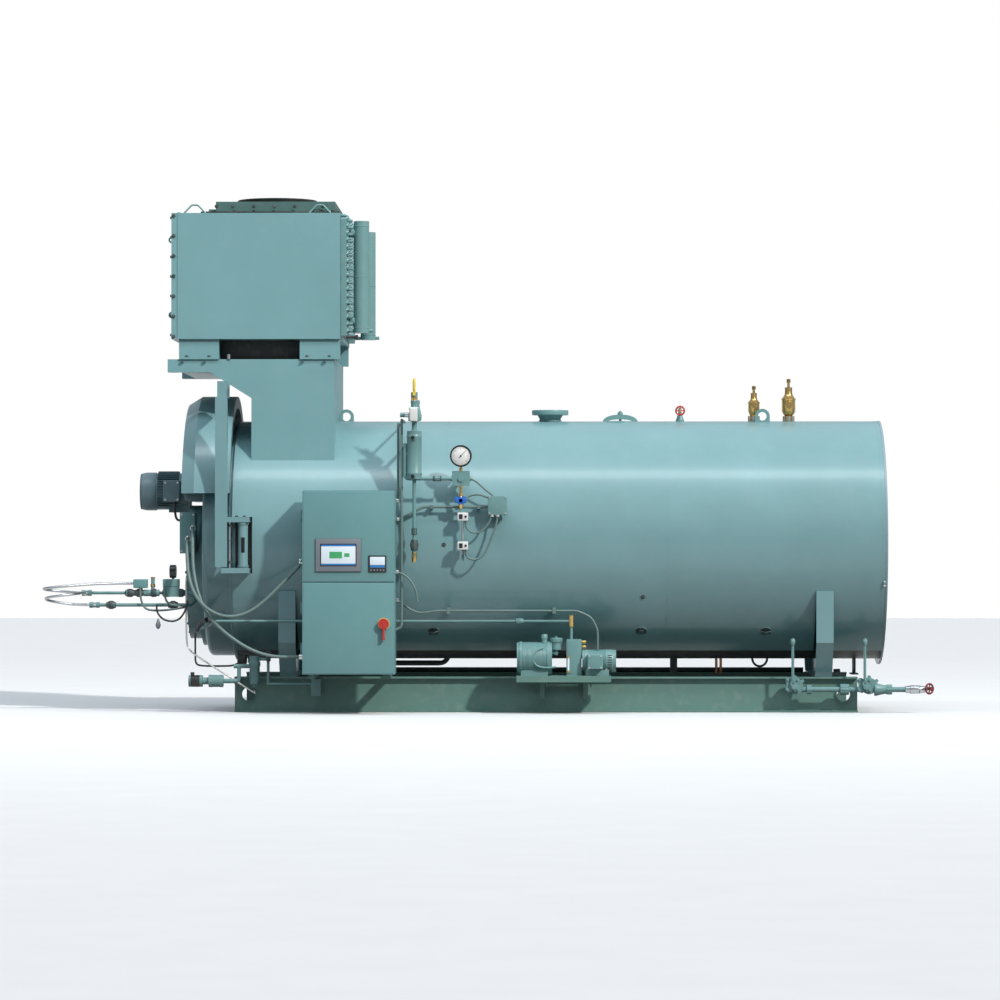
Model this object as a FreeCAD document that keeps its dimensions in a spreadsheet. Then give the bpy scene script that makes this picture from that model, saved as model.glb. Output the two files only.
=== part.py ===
"""Packaged fire-tube boiler with a flue economizer, on its skid.

Millimetres, +Z up.  The origin is on the floor under the middle of the base frame; +X runs from
the burner to the rear door, and -Y is the side that carries the controls.
"""
import FreeCAD
import Part
import Sketcher
import math
import os
import re

from FreeCAD import Rotation, Vector

SHEET = "Size"

# Driving dimensions, by assembly.  Radii and thicknesses in mm, places on the boiler's own axes.
SIZES = {
    "Shell and jacket": dict(
        axis_height=1750, shell_radius=1219, shell_wall=19, insulation=54, front_end=-3215,
        rear_end=3480, jacket_stop_angle=61.7, door_plate=22, door_lip=3),
    "Front head and windbox": dict(
        head_radius=1188, head_depth=318, head_round=55, head_wall=60, windbox_radius=1314, windbox_rise=221,
        windbox_depth=364, windbox_face=135, windbox_chamfer=83, windbox_cut=504,
        burner_radius=700, burner_depth=165, burner_drop=310, burner_step=32, burner_flange=60),
    "Blower motor": dict(
        motor_radius=191, motor_length=258, cowl_length=165, motor_rise=537, terminal_length=168,
        terminal_height=211, terminal_depth=110, motor_foot=120),
    "Burner control box": dict(burner_box_width=152, burner_box_height=416, burner_box_depth=300,
        burner_box_low=1640, burner_box_front=-930, burner_box_left=-3900),
    "Davit": dict(
        davit_width=122, davit_depth=110, davit_low=1498, davit_high=3234, davit_left=-3377,
        davit_out=1405, davit_arm=164, hinge_low=1434, hinge_high=2009, hinge_plate=54,
        hinge_reach=188, barrel_radius=50, barrel_x=-3094, barrel_out=1345, slot_height=158,
        slot_width=41, rod_radius=12, rod_x=-3230, hinge_recess=208),
    "Base frame": dict(
        base_length=6424, base_height=364, base_half_width=930, rail_flange=130, flange_wall=18,
        rail_web=12, cross_width=150, cross_height=300, lift_hole=76, lift_hole_in=144),
    "Saddles": dict(saddle_front_x=-2655, saddle_rear_x=2861, saddle_width=176, saddle_plate=20,
        saddle_top=1255, saddle_clearance=2, saddle_flare=1190),
    "Cabinet": dict(
        cabinet_left=-2465, cabinet_width=937, cabinet_height=1864, cabinet_depth=410,
        cabinet_front=-1730, cabinet_wall=3, door_thickness=30, door_gap=4, door_split=1343,
        door_margin=5, hinge_pin=5, hinge_barrel=8, hinge_stand=12, hinge_length=120, bracket_width=60, screen_width=464, screen_height=336,
        screen_left=-2332, screen_low=1451, screen_depth=16, panel_width=181, panel_height=170,
        panel_left=-1793, panel_low=1447, panel_depth=14, switch_x=-1639, switch_z=923,
        switch_plate=66, knob_radius=53, knob_depth=42, knob_lever=166, knob_bar=22),
    "Economizer": dict(
        eco_left=-3794, eco_right=-2118, eco_low=3847, eco_high=5148, eco_half_width=1000,
        eco_lip=24, cover_thickness=63, duct_left=-3037, duct_right=-2182,
        duct_half_width=950, platform_left=-3903, platform_top=3640, platform_arm=133,
        platform_haunch=-3467, haunch_low=3238, arm_width=160, foot_width=413, foot_depth=150,
        throat_half_width=700, throat_tuck=10, hood_inset=70, hood_left=-3480, hood_right=-2147,
        hood_low=42, hood_high=124, collar_radius=410, collar_top=5345, collar_bore=396,
        collar_depth=240, collar_x=-2830, bend_radius=15, bend_pitch=71, bend_count=17,
        bend_reach=62, header_radius=80, header_x=-1908, header_out=800, header_low=3920,
        header_high=5073, hook_radius=9),
    "Lifting points": dict(
        lug_x=-2101, lug_rear_x=2268, lug_rear_y=-150, lug_radius=78, lug_hole=45, lug_plate=30, lug_rise=50,
        loop_radius=9, loop_height=92, loop_width=222, loop_lean=80,
        loop_in_left=62, loop_in_right=322, loop_in=35),
    "Hand holes": dict(hand_front_x=-1160, hand_middle_x=982, hand_rear_x=2267, hand_angle=46,
        hand_port=56, hand_cover=44),
    "Top fittings": dict(
        steam_x=44, steam_flange_radius=190.5, steam_flange=50, steam_top=3140, steam_bore=96.5,
        steam_neck=95, steam_hub=135, steam_bolt_circle=165.1, steam_bolt_hole=12.7,
        manway_x=781, manway_width=377, manway_neck=205, manway_sunk=20, manway_bar=60, manway_slit=44,
        manway_top=3096, vent_x=1409, vent_wheel=53, vent_wheel_z=3133, vent_out=95,
        safety_small_x=2186, safety_large_x=2551),
    "Water column": dict(
        column_x=-1340, column_out=1420, column_radius=74, column_low=2396, column_high=2885,
        lever_pivot_z=3292),
    "Gauge and switches": dict(
        gauge_x=-866, gauge_z=2632, gauge_radius=112, gauge_depth=60, gauge_face=-1390,
        cock_x=-866, cock_z=2176, box_left=-586, box_low=2031, box_size=190, box_depth=90),
    "Compressor": dict(tray_left=-297, tray_right=667, tray_top=389, tray_depth=64,
        tray_front=-1500, tray_back=-1090, drum_radius=164, drum_length=358, tank_x=290,
        tank_half=76, tank_height=371),
    "Air line": dict(air_height=943, air_radius=14, air_left=-3440, air_out=1290),
    "Blowdown": dict(
        blow_z=239, blow_out=1050, blow_radius=27, lever_x=2533, lever_rear_x=3271,
        lever_length=459, lever_out=1135, wheel_x=3931, wheel_radius=60, wheel_tilt=36),
    "Fuel train": dict(fuel_out=900, fuel_high=1228, fuel_low=1104, fuel_inlet_x=-4795),
    "Flexible conduit": dict(conduit_radius=18, hose_radius=14, small_conduit_radius=11),
}


def make_sheet(doc):
    """Write every size into the spreadsheet, one aliased cell each."""
    sheet = doc.addObject("Spreadsheet::Sheet", SHEET)
    row = 1
    for group, sizes in SIZES.items():
        sheet.set(f"A{row}", group)
        row += 1
        for name, value in sizes.items():
            sheet.set(f"A{row}", name)
            sheet.set(f"B{row}", str(value))
            sheet.setAlias(f"B{row}", name)
            row += 1
    doc.recompute()
    return sheet


NAMES = {name for sizes in SIZES.values() for name in sizes}
WORD = re.compile(r"[a-z_]\w*")
doc = FreeCAD.newDocument("boiler")
sheet = make_sheet(doc)
SUBPARTS = []


def refs(text):
    """Put the sheet's name before each size that an expression uses."""
    return WORD.sub(lambda m: f"{SHEET}.{m[0]}" if m[0] in NAMES else m[0], str(text))


def size(text):
    """The present value of an expression of sizes."""
    return float(sheet.evalExpression(refs(text)))


def bind(obj, **properties):
    """Tie an object's properties to expressions of the sheet's sizes."""
    for name, text in properties.items():
        obj.setExpression(name, refs(text))
    return obj


def place(obj, x=0, y=0, z=0, rotation=None):
    """Give an object its place, bound to the sheet, and a fixed turn."""
    if rotation:
        obj.Placement = FreeCAD.Placement(Vector(), rotation)
    for axis, text in zip("xyz", (x, y, z)):
        obj.setExpression(f"Placement.Base.{axis}", refs(text))
    return obj


TURNS = {"Z": None, "X": Rotation(Vector(0, 1, 0), 90), "Y": Rotation(Vector(1, 0, 0), -90)}


def box(x0, x1, y0, y1, z0, z1):
    """A block between two corners."""
    item = doc.addObject("Part::Box", "block")
    bind(item, Length=f"({x1}) - ({x0})", Width=f"({y1}) - ({y0})", Height=f"({z1}) - ({z0})")
    return place(item, x0, y0, z0)


def rod(axis, x, y, z, radius, length):
    """A round bar that starts at a point and runs along +X, +Y or +Z."""
    item = doc.addObject("Part::Cylinder", "round")
    bind(item, Radius=radius, Height=length)
    return place(item, x, y, z, TURNS[axis])


def cone(axis, x, y, z, radius, end_radius, length):
    """A taper that starts at a point and runs along +X, +Y or +Z."""
    item = doc.addObject("Part::Cone", "taper")
    bind(item, Radius1=radius, Radius2=end_radius, Height=length)
    return place(item, x, y, z, TURNS[axis])


def ring(axis, x, y, z, radius, section):
    """A round-section hoop about a point, its axis along X, Y or Z."""
    item = doc.addObject("Part::Torus", "hoop")
    bind(item, Radius1=radius, Radius2=section)
    return place(item, x, y, z, TURNS[axis])


def fuse(*items):
    """One solid out of pieces that meet."""
    if len(items) == 1:
        return items[0]
    item = doc.addObject("Part::MultiFuse", "joined")
    item.Shapes = list(items)
    item.Refine = True
    return item


def cut(base, *tools):
    """A piece with others taken away."""
    for tool in tools:
        item = doc.addObject("Part::Cut", "cut")
        item.Base = base
        item.Tool = tool
        base = item
    return base


def group(*items):
    """Like pieces that don't touch, kept as separate solids of one sub-part."""
    item = doc.addObject("Part::Compound", "set")
    item.Links = list(items)
    return item


def sketch_body(plane, points, feature, **settings):
    """A PartDesign body: one closed outline on an origin plane, then a Pad or a Revolution.

    Every corner of the outline is held by two dimensions that are bound to the sheet.
    """
    body = doc.addObject("PartDesign::Body", "body")
    sketch = body.newObject("Sketcher::SketchObject", "outline")
    origin = [f for f in body.Origin.OriginFeatures if f.Role == plane][0]
    sketch.AttachmentSupport = [(origin, "")]
    sketch.MapMode = "FlatFace"
    values = [(size(u), size(v)) for u, v in points]
    for start, end in zip(values, values[1:] + values[:1]):
        sketch.addGeometry(Part.LineSegment(Vector(*start, 0), Vector(*end, 0)))
    for i, (u, v) in enumerate(points):
        sketch.addConstraint(Sketcher.Constraint("Coincident", i - 1 if i else len(points) - 1, 2, i, 1))
        for kind, text, value in (("DistanceX", u, values[i][0]), ("DistanceY", v, values[i][1])):
            index = sketch.addConstraint(Sketcher.Constraint(kind, -1, 1, i, 1, value))
            sketch.setExpression(f"Constraints[{index}]", refs(text))
    solid = body.newObject(f"PartDesign::{feature}", feature.lower())
    solid.Profile = sketch
    if feature == "Revolution":
        solid.ReferenceAxis = (sketch, ["H_Axis"])
        solid.Angle = 360
    for name, value in settings.items():
        if isinstance(value, str):
            solid.setExpression(name, refs(value))
        else:
            setattr(solid, name, value)
    doc.recompute()
    return body


def turned(points, x="0", y="0", z="0"):
    """A round piece about an axis along X: corners are (place on the axis, radius)."""
    return place(sketch_body("XZ_Plane", points, "Revolution"), x, y, z)


def plate_xz(points, y0, thickness):
    """A flat plate with an outline in X and Z, from y0 towards +Y."""
    body = sketch_body("XZ_Plane", points, "Pad", Length=thickness, Reversed=True)
    return place(body, 0, y0, 0)


def route(points, radius, bend=None):
    """A round tube along straight runs joined by tangent arcs.

    Each arc takes 0.45 of its shorter run, over the tangent of half the turn, unless a bend
    radius is given.
    """
    corners = [Vector(*(size(value) for value in point)) for point in points]
    tube_radius = size(radius)
    edges = []
    here = corners[0]
    for before, corner, after in zip(corners, corners[1:], corners[2:]):
        into = (corner - before).normalize()
        out = (after - corner).normalize()
        turn = into.getAngle(out)
        reach = 0.45 * min((corner - before).Length, (after - corner).Length)
        if bend:
            reach = min(reach, size(bend) * math.tan(turn / 2))
        start = corner - into * reach
        end = corner + out * reach
        arc_radius = reach / math.tan(turn / 2)
        middle = corner + (out - into).normalize() * (arc_radius / math.cos(turn / 2) - arc_radius)
        edges.append(Part.LineSegment(here, start).toShape())
        edges.append(Part.Arc(start, middle, end).toShape())
        here = end
    edges.append(Part.LineSegment(here, corners[-1]).toShape())
    circle = Part.Circle(corners[0], corners[1] - corners[0], tube_radius)
    item = doc.addObject("Part::Feature", "tube")
    item.Shape = Part.Wire(edges).makePipe(Part.Face(Part.Wire(circle.toShape())))
    return item


def cord(name, points, radius):
    """A hanging conduit or hose, checked against its section times its length."""
    item = route(points, radius)
    corners = [Vector(*(size(value) for value in point)) for point in points]
    radii = []
    for before, corner, after in zip(corners, corners[1:], corners[2:]):
        turn = (corner - before).getAngle(after - corner)
        shorter = min((corner - before).Length, (after - corner).Length)
        radii.append(round(0.45 * shorter / math.tan(turn / 2) / (2 * size(radius)), 1))
    print(f"{name}: bend radii in diameters {radii}")
    return keep(name, item)


def keep(name, item):
    """Name a finished sub-part; its label names its file."""
    item.Label = name
    SUBPARTS.append(item)
    return item


def seat(name, *others):
    """Cut one sub-part back to the faces of the sub-parts that it meets."""
    parts = {item.Label: item for item in SUBPARTS}
    whole = parts[name]
    whole.Label = f"{name}_whole"
    SUBPARTS.remove(whole)
    keep(name, cut(whole, *[parts[other] for other in others]))


def hexagon(axis, x, y, z, radius, length):
    """A six-sided nut or union that starts at a point and runs along +X, +Y or +Z."""
    item = doc.addObject("Part::Prism", "hexagon")
    item.Polygon = 6
    bind(item, Circumradius=radius, Height=length)
    return place(item, x, y, z, TURNS[axis])


# ---- boiler vessel -------------------------------------------------------------------------

JACKET = "shell_radius + insulation"
HAND_HOLES = ("hand_front_x", "hand_middle_x", "hand_rear_x")


def flank_rod(x, angle, radius, start, length):
    """A round bar square to the near flank of the shell, some degrees below its axis."""
    item = doc.addObject("Part::Cylinder", "flank")
    bind(item, Radius=radius, Height=length)
    turn = math.radians(size(angle))
    item.Placement = FreeCAD.Placement(Vector(), Rotation(Vector(0, 0, 1), Vector(0, -math.cos(turn), -math.sin(turn))))
    return place(item, x, f"-({start}) * cos({angle})", f"axis_height - ({start}) * sin({angle})")


def vessel_body(radius="shell_radius"):
    """The space of the vessel, for trimming what sits on it."""
    return rod("X", "front_end", 0, "axis_height", radius, "rear_end - front_end")


def pressure_vessel():
    """The steel shell, its insulated jacket, the rear door and the two tapped fittings."""
    length = "rear_end - front_end"
    shell = cut(rod("X", "front_end", 0, "axis_height", "shell_radius", length),
                rod("X", "front_end", 0, "axis_height", "shell_radius - shell_wall", length))
    holes = [rod("Z", "steam_x", 0, "axis_height", "steam_bore", "shell_radius * 1.1")]
    sheet_plate = rod("X", "front_end", 0, "axis_height", "shell_radius", "shell_wall")
    keep("pressure_shell", cut(fuse(shell, sheet_plate), *holes))

    ring_solid = cut(rod("X", "front_end", 0, "axis_height", JACKET, length),
                     rod("X", "front_end", 0, "axis_height", "shell_radius", length))
    stop = "(shell_radius + insulation) * sin(jacket_stop_angle)"
    below = box("front_end", "rear_end", f"-({JACKET})", JACKET, f"axis_height - ({JACKET})",
                f"axis_height - {stop}")
    notches = []
    for x in ("saddle_front_x", "saddle_rear_x"):
        half = "saddle_width / 2 + saddle_clearance"
        for side in (-1, 1):
            inner, outer = sorted((f"{side} * shell_radius * 0.4", f"{side} * ({JACKET})"), key=size)
            notches.append(box(f"{x} - ({half})", f"{x} + {half}", inner, outer,
                               f"axis_height - ({JACKET})", "saddle_top + saddle_clearance"))
    ports = []
    for x, radius in (("steam_x", "steam_hub"), ("manway_x", "manway_neck"), ("vent_x", 32),
                      ("safety_small_x", 40), ("safety_large_x", 46)):
        ports.append(rod("Z", x, 0, "axis_height + shell_radius * 0.9", radius, "insulation + shell_radius * 0.2"))
    for x, y in (("lug_x", "0"), ("lug_rear_x", "lug_rear_y")):
        ports.append(box(f"{x} - lug_radius - 2", f"{x} + lug_radius + 2", f"{y} - lug_plate / 2 - 1",
                         f"{y} + lug_plate / 2 + 1", "axis_height + shell_radius * 0.9",
                         "axis_height + shell_radius + insulation * 2"))
    recess = box("front_end", "front_end + hinge_recess", f"-({JACKET})", "-shell_radius * 0.85",
                 "hinge_low - 2", "hinge_high + 2")
    hand_ports = [flank_rod(x, "hand_angle", "hand_port", "shell_radius", "insulation + 10") for x in HAND_HOLES]
    keep("jacket", cut(ring_solid, below, recess, *notches, *ports, *hand_ports))

    door = rod("X", "rear_end", 0, "axis_height", f"{JACKET} + door_lip", "door_plate")
    keep("rear_door", door)


def front_head():
    """The front head drum, closed in front, with a rounded front edge."""
    drum = rod("X", "front_end - head_depth", 0, "axis_height", "head_radius", "head_depth")
    doc.recompute()
    edge = doc.addObject("Part::Fillet", "rounded")
    edge.Base = drum
    chosen = [i + 1 for i, e in enumerate(drum.Shape.Edges)
              if e.Length > size("head_radius") * 6 and e.CenterOfMass.x < size("front_end - head_depth / 2")]
    edge.Edges = [(chosen[0], size("head_round"), size("head_round"))]
    hollow = rod("X", "front_end - head_depth + head_wall", 0, "axis_height", "head_radius - head_wall", "head_depth")
    keep("front_head", cut(edge, hollow))


def burner_body():
    """The round burner housing and its flange, in front of the head."""
    front = "front_end - head_depth"
    centre = "axis_height - burner_drop"
    return fuse(
        rod("X", f"{front} - burner_depth - burner_step", 0, centre, "burner_radius", "burner_depth + burner_step"),
        rod("X", f"{front} - burner_flange", 0, centre, "burner_radius + 70", "burner_flange"))


def windbox():
    """The upper drum segment in front of the head: a chamfered disc cut off level below."""
    front = "front_end - head_depth"
    face = f"{front} - windbox_face - 72"
    rim = f"{front} - 72"
    outline = [(face, "0"), (face, "windbox_radius - windbox_chamfer"), (rim, "windbox_radius"),
               (f"{rim} + windbox_depth", "windbox_radius"), (f"{rim} + windbox_depth", "head_radius + 4"),
               (front, "head_radius + 4"), (front, "0")]
    body = turned(outline, 0, 0, "axis_height + windbox_rise")
    low = box(f"{face} - 10", "front_end", "-windbox_radius * 1.1", "windbox_radius * 1.1",
              "axis_height - windbox_radius * 1.1", "axis_height + windbox_cut")
    drum = rod("X", front, 0, "axis_height", "head_radius + 1", "head_depth")
    keep("burner_windbox", cut(body, low, drum))

    keep("burner_housing", burner_body())


def blower_motor():
    """The forced-draught fan motor, flange mounted, with its terminal box and lead."""
    face = "front_end - head_depth - windbox_face - 72"
    z = "axis_height + motor_rise"
    left = f"{face} - 100 - motor_length"
    frame = rod("X", left, 0, z, "motor_radius", "motor_length + 100")
    cowl = rod("X", f"{left} - cowl_length", 0, z, "motor_radius - 3", "cowl_length")
    terminal = box(f"{left} + 95", f"{left} + 95 + terminal_length", "-motor_radius - terminal_depth",
                   "-motor_radius + 60", f"{z} - terminal_height / 2", f"{z} + terminal_height / 2")
    foot = box(f"{left} + motor_length - motor_foot", face, -140, 140, f"{z} - motor_radius - 30", f"{z} - 120")
    keep("blower_motor", fuse(frame, cowl, terminal, foot))

    enclosure = box("burner_box_left + 127", "burner_box_left + 127 + burner_box_width", "burner_box_front",
                    "burner_box_front + burner_box_depth", "burner_box_low", "burner_box_low + burner_box_height")
    keep("burner_junction_box", cut(enclosure, burner_body()))


# ---- davit and head hinge ------------------------------------------------------------------

def davit():
    """The davit column beside the head, and the hinge whose barrel hangs the head on the shell."""
    back = "-davit_out + davit_depth"
    column = box("davit_left", "davit_left + davit_width", "-davit_out", back, "davit_low", "davit_high")
    arm = box("davit_left + 20", "davit_left + davit_width - 5", "-davit_out + 20", f"{back} + davit_depth * 3",
              "davit_high", "davit_high + davit_arm")
    plates = [box("davit_left + davit_width / 2", "front_end + hinge_reach", "-davit_out", "-shell_radius + 30",
                  low, f"{low} + hinge_plate") for low in ("hinge_low", "hinge_high - hinge_plate")]
    height = "hinge_high - hinge_low - 2 * hinge_plate"
    middle = "(hinge_high + hinge_low) / 2"
    barrel = cut(rod("Z", "barrel_x", "-barrel_out", "hinge_low + hinge_plate", "barrel_radius", height),
                 box("barrel_x - slot_width / 2", "barrel_x + slot_width / 2", "-barrel_out - 2 * barrel_radius",
                     "-barrel_out + 2 * barrel_radius", f"{middle} - slot_height / 2", f"{middle} + slot_height / 2"))
    pin = rod("Z", "rod_x", "-davit_out + davit_depth / 2", "hinge_low + hinge_plate", "rod_radius", height)
    keep("head_davit", cut(fuse(column, arm, *plates, barrel, pin), vessel_body()))


# ---- base frame ----------------------------------------------------------------------------

def side_span(side, inner, outer):
    """The low and high Y of a piece that lies between two distances on one side."""
    return (f"-({outer})", f"-({inner})") if side < 0 else (inner, outer)


def rails():
    """Two wide-flange rails with lifting holes, and the cross members between them."""
    half = "base_length / 2"
    middle = "base_half_width - rail_flange / 2"
    beams = []
    for side in (-1, 1):
        web = box(f"-{half}", half, *side_span(side, f"{middle} - rail_web / 2", f"{middle} + rail_web / 2"),
                  0, "base_height")
        flanges = [box(f"-{half}", half, *side_span(side, "base_half_width - rail_flange", "base_half_width"),
                       low, f"{low} + flange_wall") for low in ("0", "base_height - flange_wall")]
        holes = [rod("Y", f"{end} * ({half} - lift_hole_in)", f"{side} * ({middle}) - rail_flange",
                     "base_height / 2", "lift_hole", "2 * rail_flange") for end in (-1, 1)]
        beams.append(cut(fuse(web, *flanges), *holes))
    keep("base_rails", group(*beams))
    inside = f"{middle} - rail_web / 2"
    bars = [box(f"{x} - cross_width / 2", f"{x} + cross_width / 2", f"-({inside})", inside,
                0, "cross_height") for x in ("saddle_front_x", "0", "saddle_rear_x")]
    notch = [box(f"-{half}", half, *side_span(side, "base_half_width - rail_flange", "base_half_width"), z,
                 f"{z} + flange_wall + 40") for side in (-1, 1) for z in ("-40", "base_height - flange_wall")]
    keep("base_crossmembers", cut(group(*bars), *notch))


def saddle_outline(inset):
    """A saddle's flat outline in Y and Z: it flares from the rail to the shell's shoulder."""
    knee = "base_height + (saddle_top - base_height) * 0.4"
    right = [(f"base_half_width - {inset}", f"base_height + {inset}"), (f"saddle_flare - {inset}", knee),
             (f"saddle_flare - {inset}", f"saddle_top + {inset}")]
    left = [(f"-({y})", z) for y, z in reversed(right)]
    return right + left


def saddles():
    """Two saddles: a cradle plate edged by a flange that runs up the outside of the shell."""
    pair = []
    for x in ("saddle_front_x", "saddle_rear_x"):
        wide = place(sketch_body("YZ_Plane", saddle_outline("0"), "Pad", Length="saddle_width"),
                     f"{x} - saddle_width / 2")
        core = place(sketch_body("YZ_Plane", saddle_outline("saddle_plate"), "Pad", Length="saddle_width * 2"),
                     f"{x} - saddle_width")
        web = place(sketch_body("YZ_Plane", saddle_outline("0"), "Pad", Length="saddle_plate"),
                    f"{x} - saddle_plate / 2")
        vessel = rod("X", f"{x} - saddle_width", 0, "axis_height", "shell_radius", "2 * saddle_width")
        pair.append(cut(fuse(cut(wide, core), web), vessel))
    keep("saddles", group(*pair))


# ---- economizer ----------------------------------------------------------------------------

def economizer_support():
    """The flue duct on top of the shell and the two arms that carry the economizer over the burner."""
    duct = box("duct_left", "duct_right", "-duct_half_width", "duct_half_width", "axis_height",
               "platform_top")
    vessel = rod("X", "duct_left - 10", 0, "axis_height", JACKET, "duct_right - duct_left + 20")
    throat = box("eco_left + foot_width - throat_tuck", "eco_right - foot_width + throat_tuck",
                 "-throat_half_width", "throat_half_width", "platform_top", "eco_low")
    keep("flue_duct", cut(fuse(duct, throat), vessel))
    arm = [("platform_left", "platform_top"), ("platform_left", "platform_top - platform_arm"),
           ("platform_haunch", "platform_top - platform_arm"), ("duct_left", "haunch_low"),
           ("duct_left", "platform_top")]
    near = plate_xz(arm, "-duct_half_width", "arm_width")
    far = plate_xz(arm, "duct_half_width - arm_width", "arm_width")
    bar = box("platform_left + 150", "platform_left + 150 + arm_width * 2", "-duct_half_width + arm_width",
              "duct_half_width - arm_width", "platform_top - platform_arm", "platform_top")
    keep("economizer_platform", fuse(near, far, bar))


def economizer():
    """The insulated casing, its bolted end cover, the outlet hood with its collar."""
    casing = box("eco_left", "eco_right", "-eco_half_width", "eco_half_width", "eco_low", "eco_high")
    feet = []
    for side in (-1, 1):
        span = side_span(side, "eco_half_width - foot_depth - 30", "eco_half_width - 30")
        feet.append(box("eco_left + 10", "eco_left + 10 + foot_width", *span, "platform_top", "eco_low + 10"))
        feet.append(box("eco_right - 6 - foot_width", "eco_right - 6", *span, "platform_top", "eco_low + 10"))
    rim = box("eco_left - eco_lip / 6", "eco_left + eco_lip", "-eco_half_width - 6", "eco_half_width + 6",
              "eco_low + 1", "eco_high + 6")
    keep("economizer_casing", fuse(casing, rim, *feet))
    cover_left = "eco_left - eco_lip / 6 - cover_thickness"
    cover = box(cover_left, f"{cover_left} + cover_thickness", "-eco_half_width", "eco_half_width",
                "eco_low", "eco_high")
    hooks = [ring("Y", cover_left, f"{side} * (eco_half_width - 60)", z, 26, "hook_radius")
             for side in (-1, 1) for z in ("eco_high - 275", "eco_low + 250")]
    keep("economizer_end_cover", fuse(cover, *hooks))
    hood = fuse(
        box("hood_left", "hood_right", "-duct_half_width + 20", "duct_half_width - 20", "eco_high", "eco_high + hood_low"),
        box("hood_left + hood_inset", "hood_right - 30", "-duct_half_width + 60", "duct_half_width - 60",
            "eco_high + hood_low", "eco_high + hood_high"))
    bore = rod("Z", "collar_x", 0, "eco_high", "collar_bore", "collar_depth * 2")
    collar = rod("Z", "collar_x", 0, "eco_high + hood_low", "collar_radius", "collar_top - eco_high - hood_low")
    keep("economizer_hood", cut(fuse(hood, collar), bore))


def economizer_tubes():
    """Return bends and stubs down the right side, and the water headers at front and back."""
    rows = []
    pitch = "bend_pitch"
    for side in (-1, 1):
        y = f"{side} * (eco_half_width - 130)"
        rows += [rod("X", "eco_right", y, f"eco_low + 90 + {i} * {pitch}", "bend_radius", "bend_reach + 60")
                 for i in range(int(SIZES["Economizer"]["bend_count"]))]
    plates = [box("eco_right", "eco_right + bend_reach", *side_span(side, "eco_half_width - 260", "eco_half_width - 40"),
                  "eco_low + 40", "eco_high - 60") for side in (-1, 1)]
    near_rows, far_rows = rows[:len(rows) // 2], rows[len(rows) // 2:]
    bends = keep("economizer_tube_bends", group(fuse(plates[0], *near_rows), fuse(plates[1], *far_rows)))
    headers = []
    for side in (-1, 1):
        y = f"{side} * header_out"
        pipe = rod("Z", "header_x", y, "header_low", "header_radius", "header_high - header_low")
        reach = "header_x - eco_right"
        inlets = [rod("X", "eco_right", y, z, "header_radius * 0.6", reach) for z in ("header_low + 120", "header_high - 120")]
        drain = rod("X", "eco_right", y, "header_low + 20", 17, f"{reach} + header_radius + 40")
        headers.append(fuse(pipe, *inlets, drain))
    keep("economizer_headers", cut(group(*headers), bends))


def lifting_points():
    """Plate lugs on top of the shell, and bent-rod loops on the economizer's casing."""
    base = "axis_height + shell_radius - 40"
    items = []
    for x, y in (("lug_x", "0"), ("lug_rear_x", "lug_rear_y")):
        z = "axis_height + shell_radius + insulation + lug_rise"
        eye = fuse(rod("Y", x, f"{y} - lug_plate / 2", z, "lug_radius", "lug_plate"),
                   box(f"{x} - lug_radius", f"{x} + lug_radius", f"{y} - lug_plate / 2", f"{y} + lug_plate / 2", base, z))
        items.append(cut(eye, rod("Y", x, f"{y} - lug_plate", z, "lug_hole", "2 * lug_plate"), vessel_body()))
    for x in ("eco_left + loop_in_left", "eco_right - loop_in_right"):
        for side in (-1, 1):
            y = f"{side} * (eco_half_width - loop_in)"
            top = "eco_high + loop_height - loop_radius"
            items.append(route([(x, y, "eco_high"), (f"{x} + loop_lean", y, top),
                                (f"{x} + loop_width - loop_lean", y, top),
                                (f"{x} + loop_width", y, "eco_high")], "loop_radius", "loop_radius * 3"))
    keep("lifting_points", group(*items))


# ---- top fittings --------------------------------------------------------------------------

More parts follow.
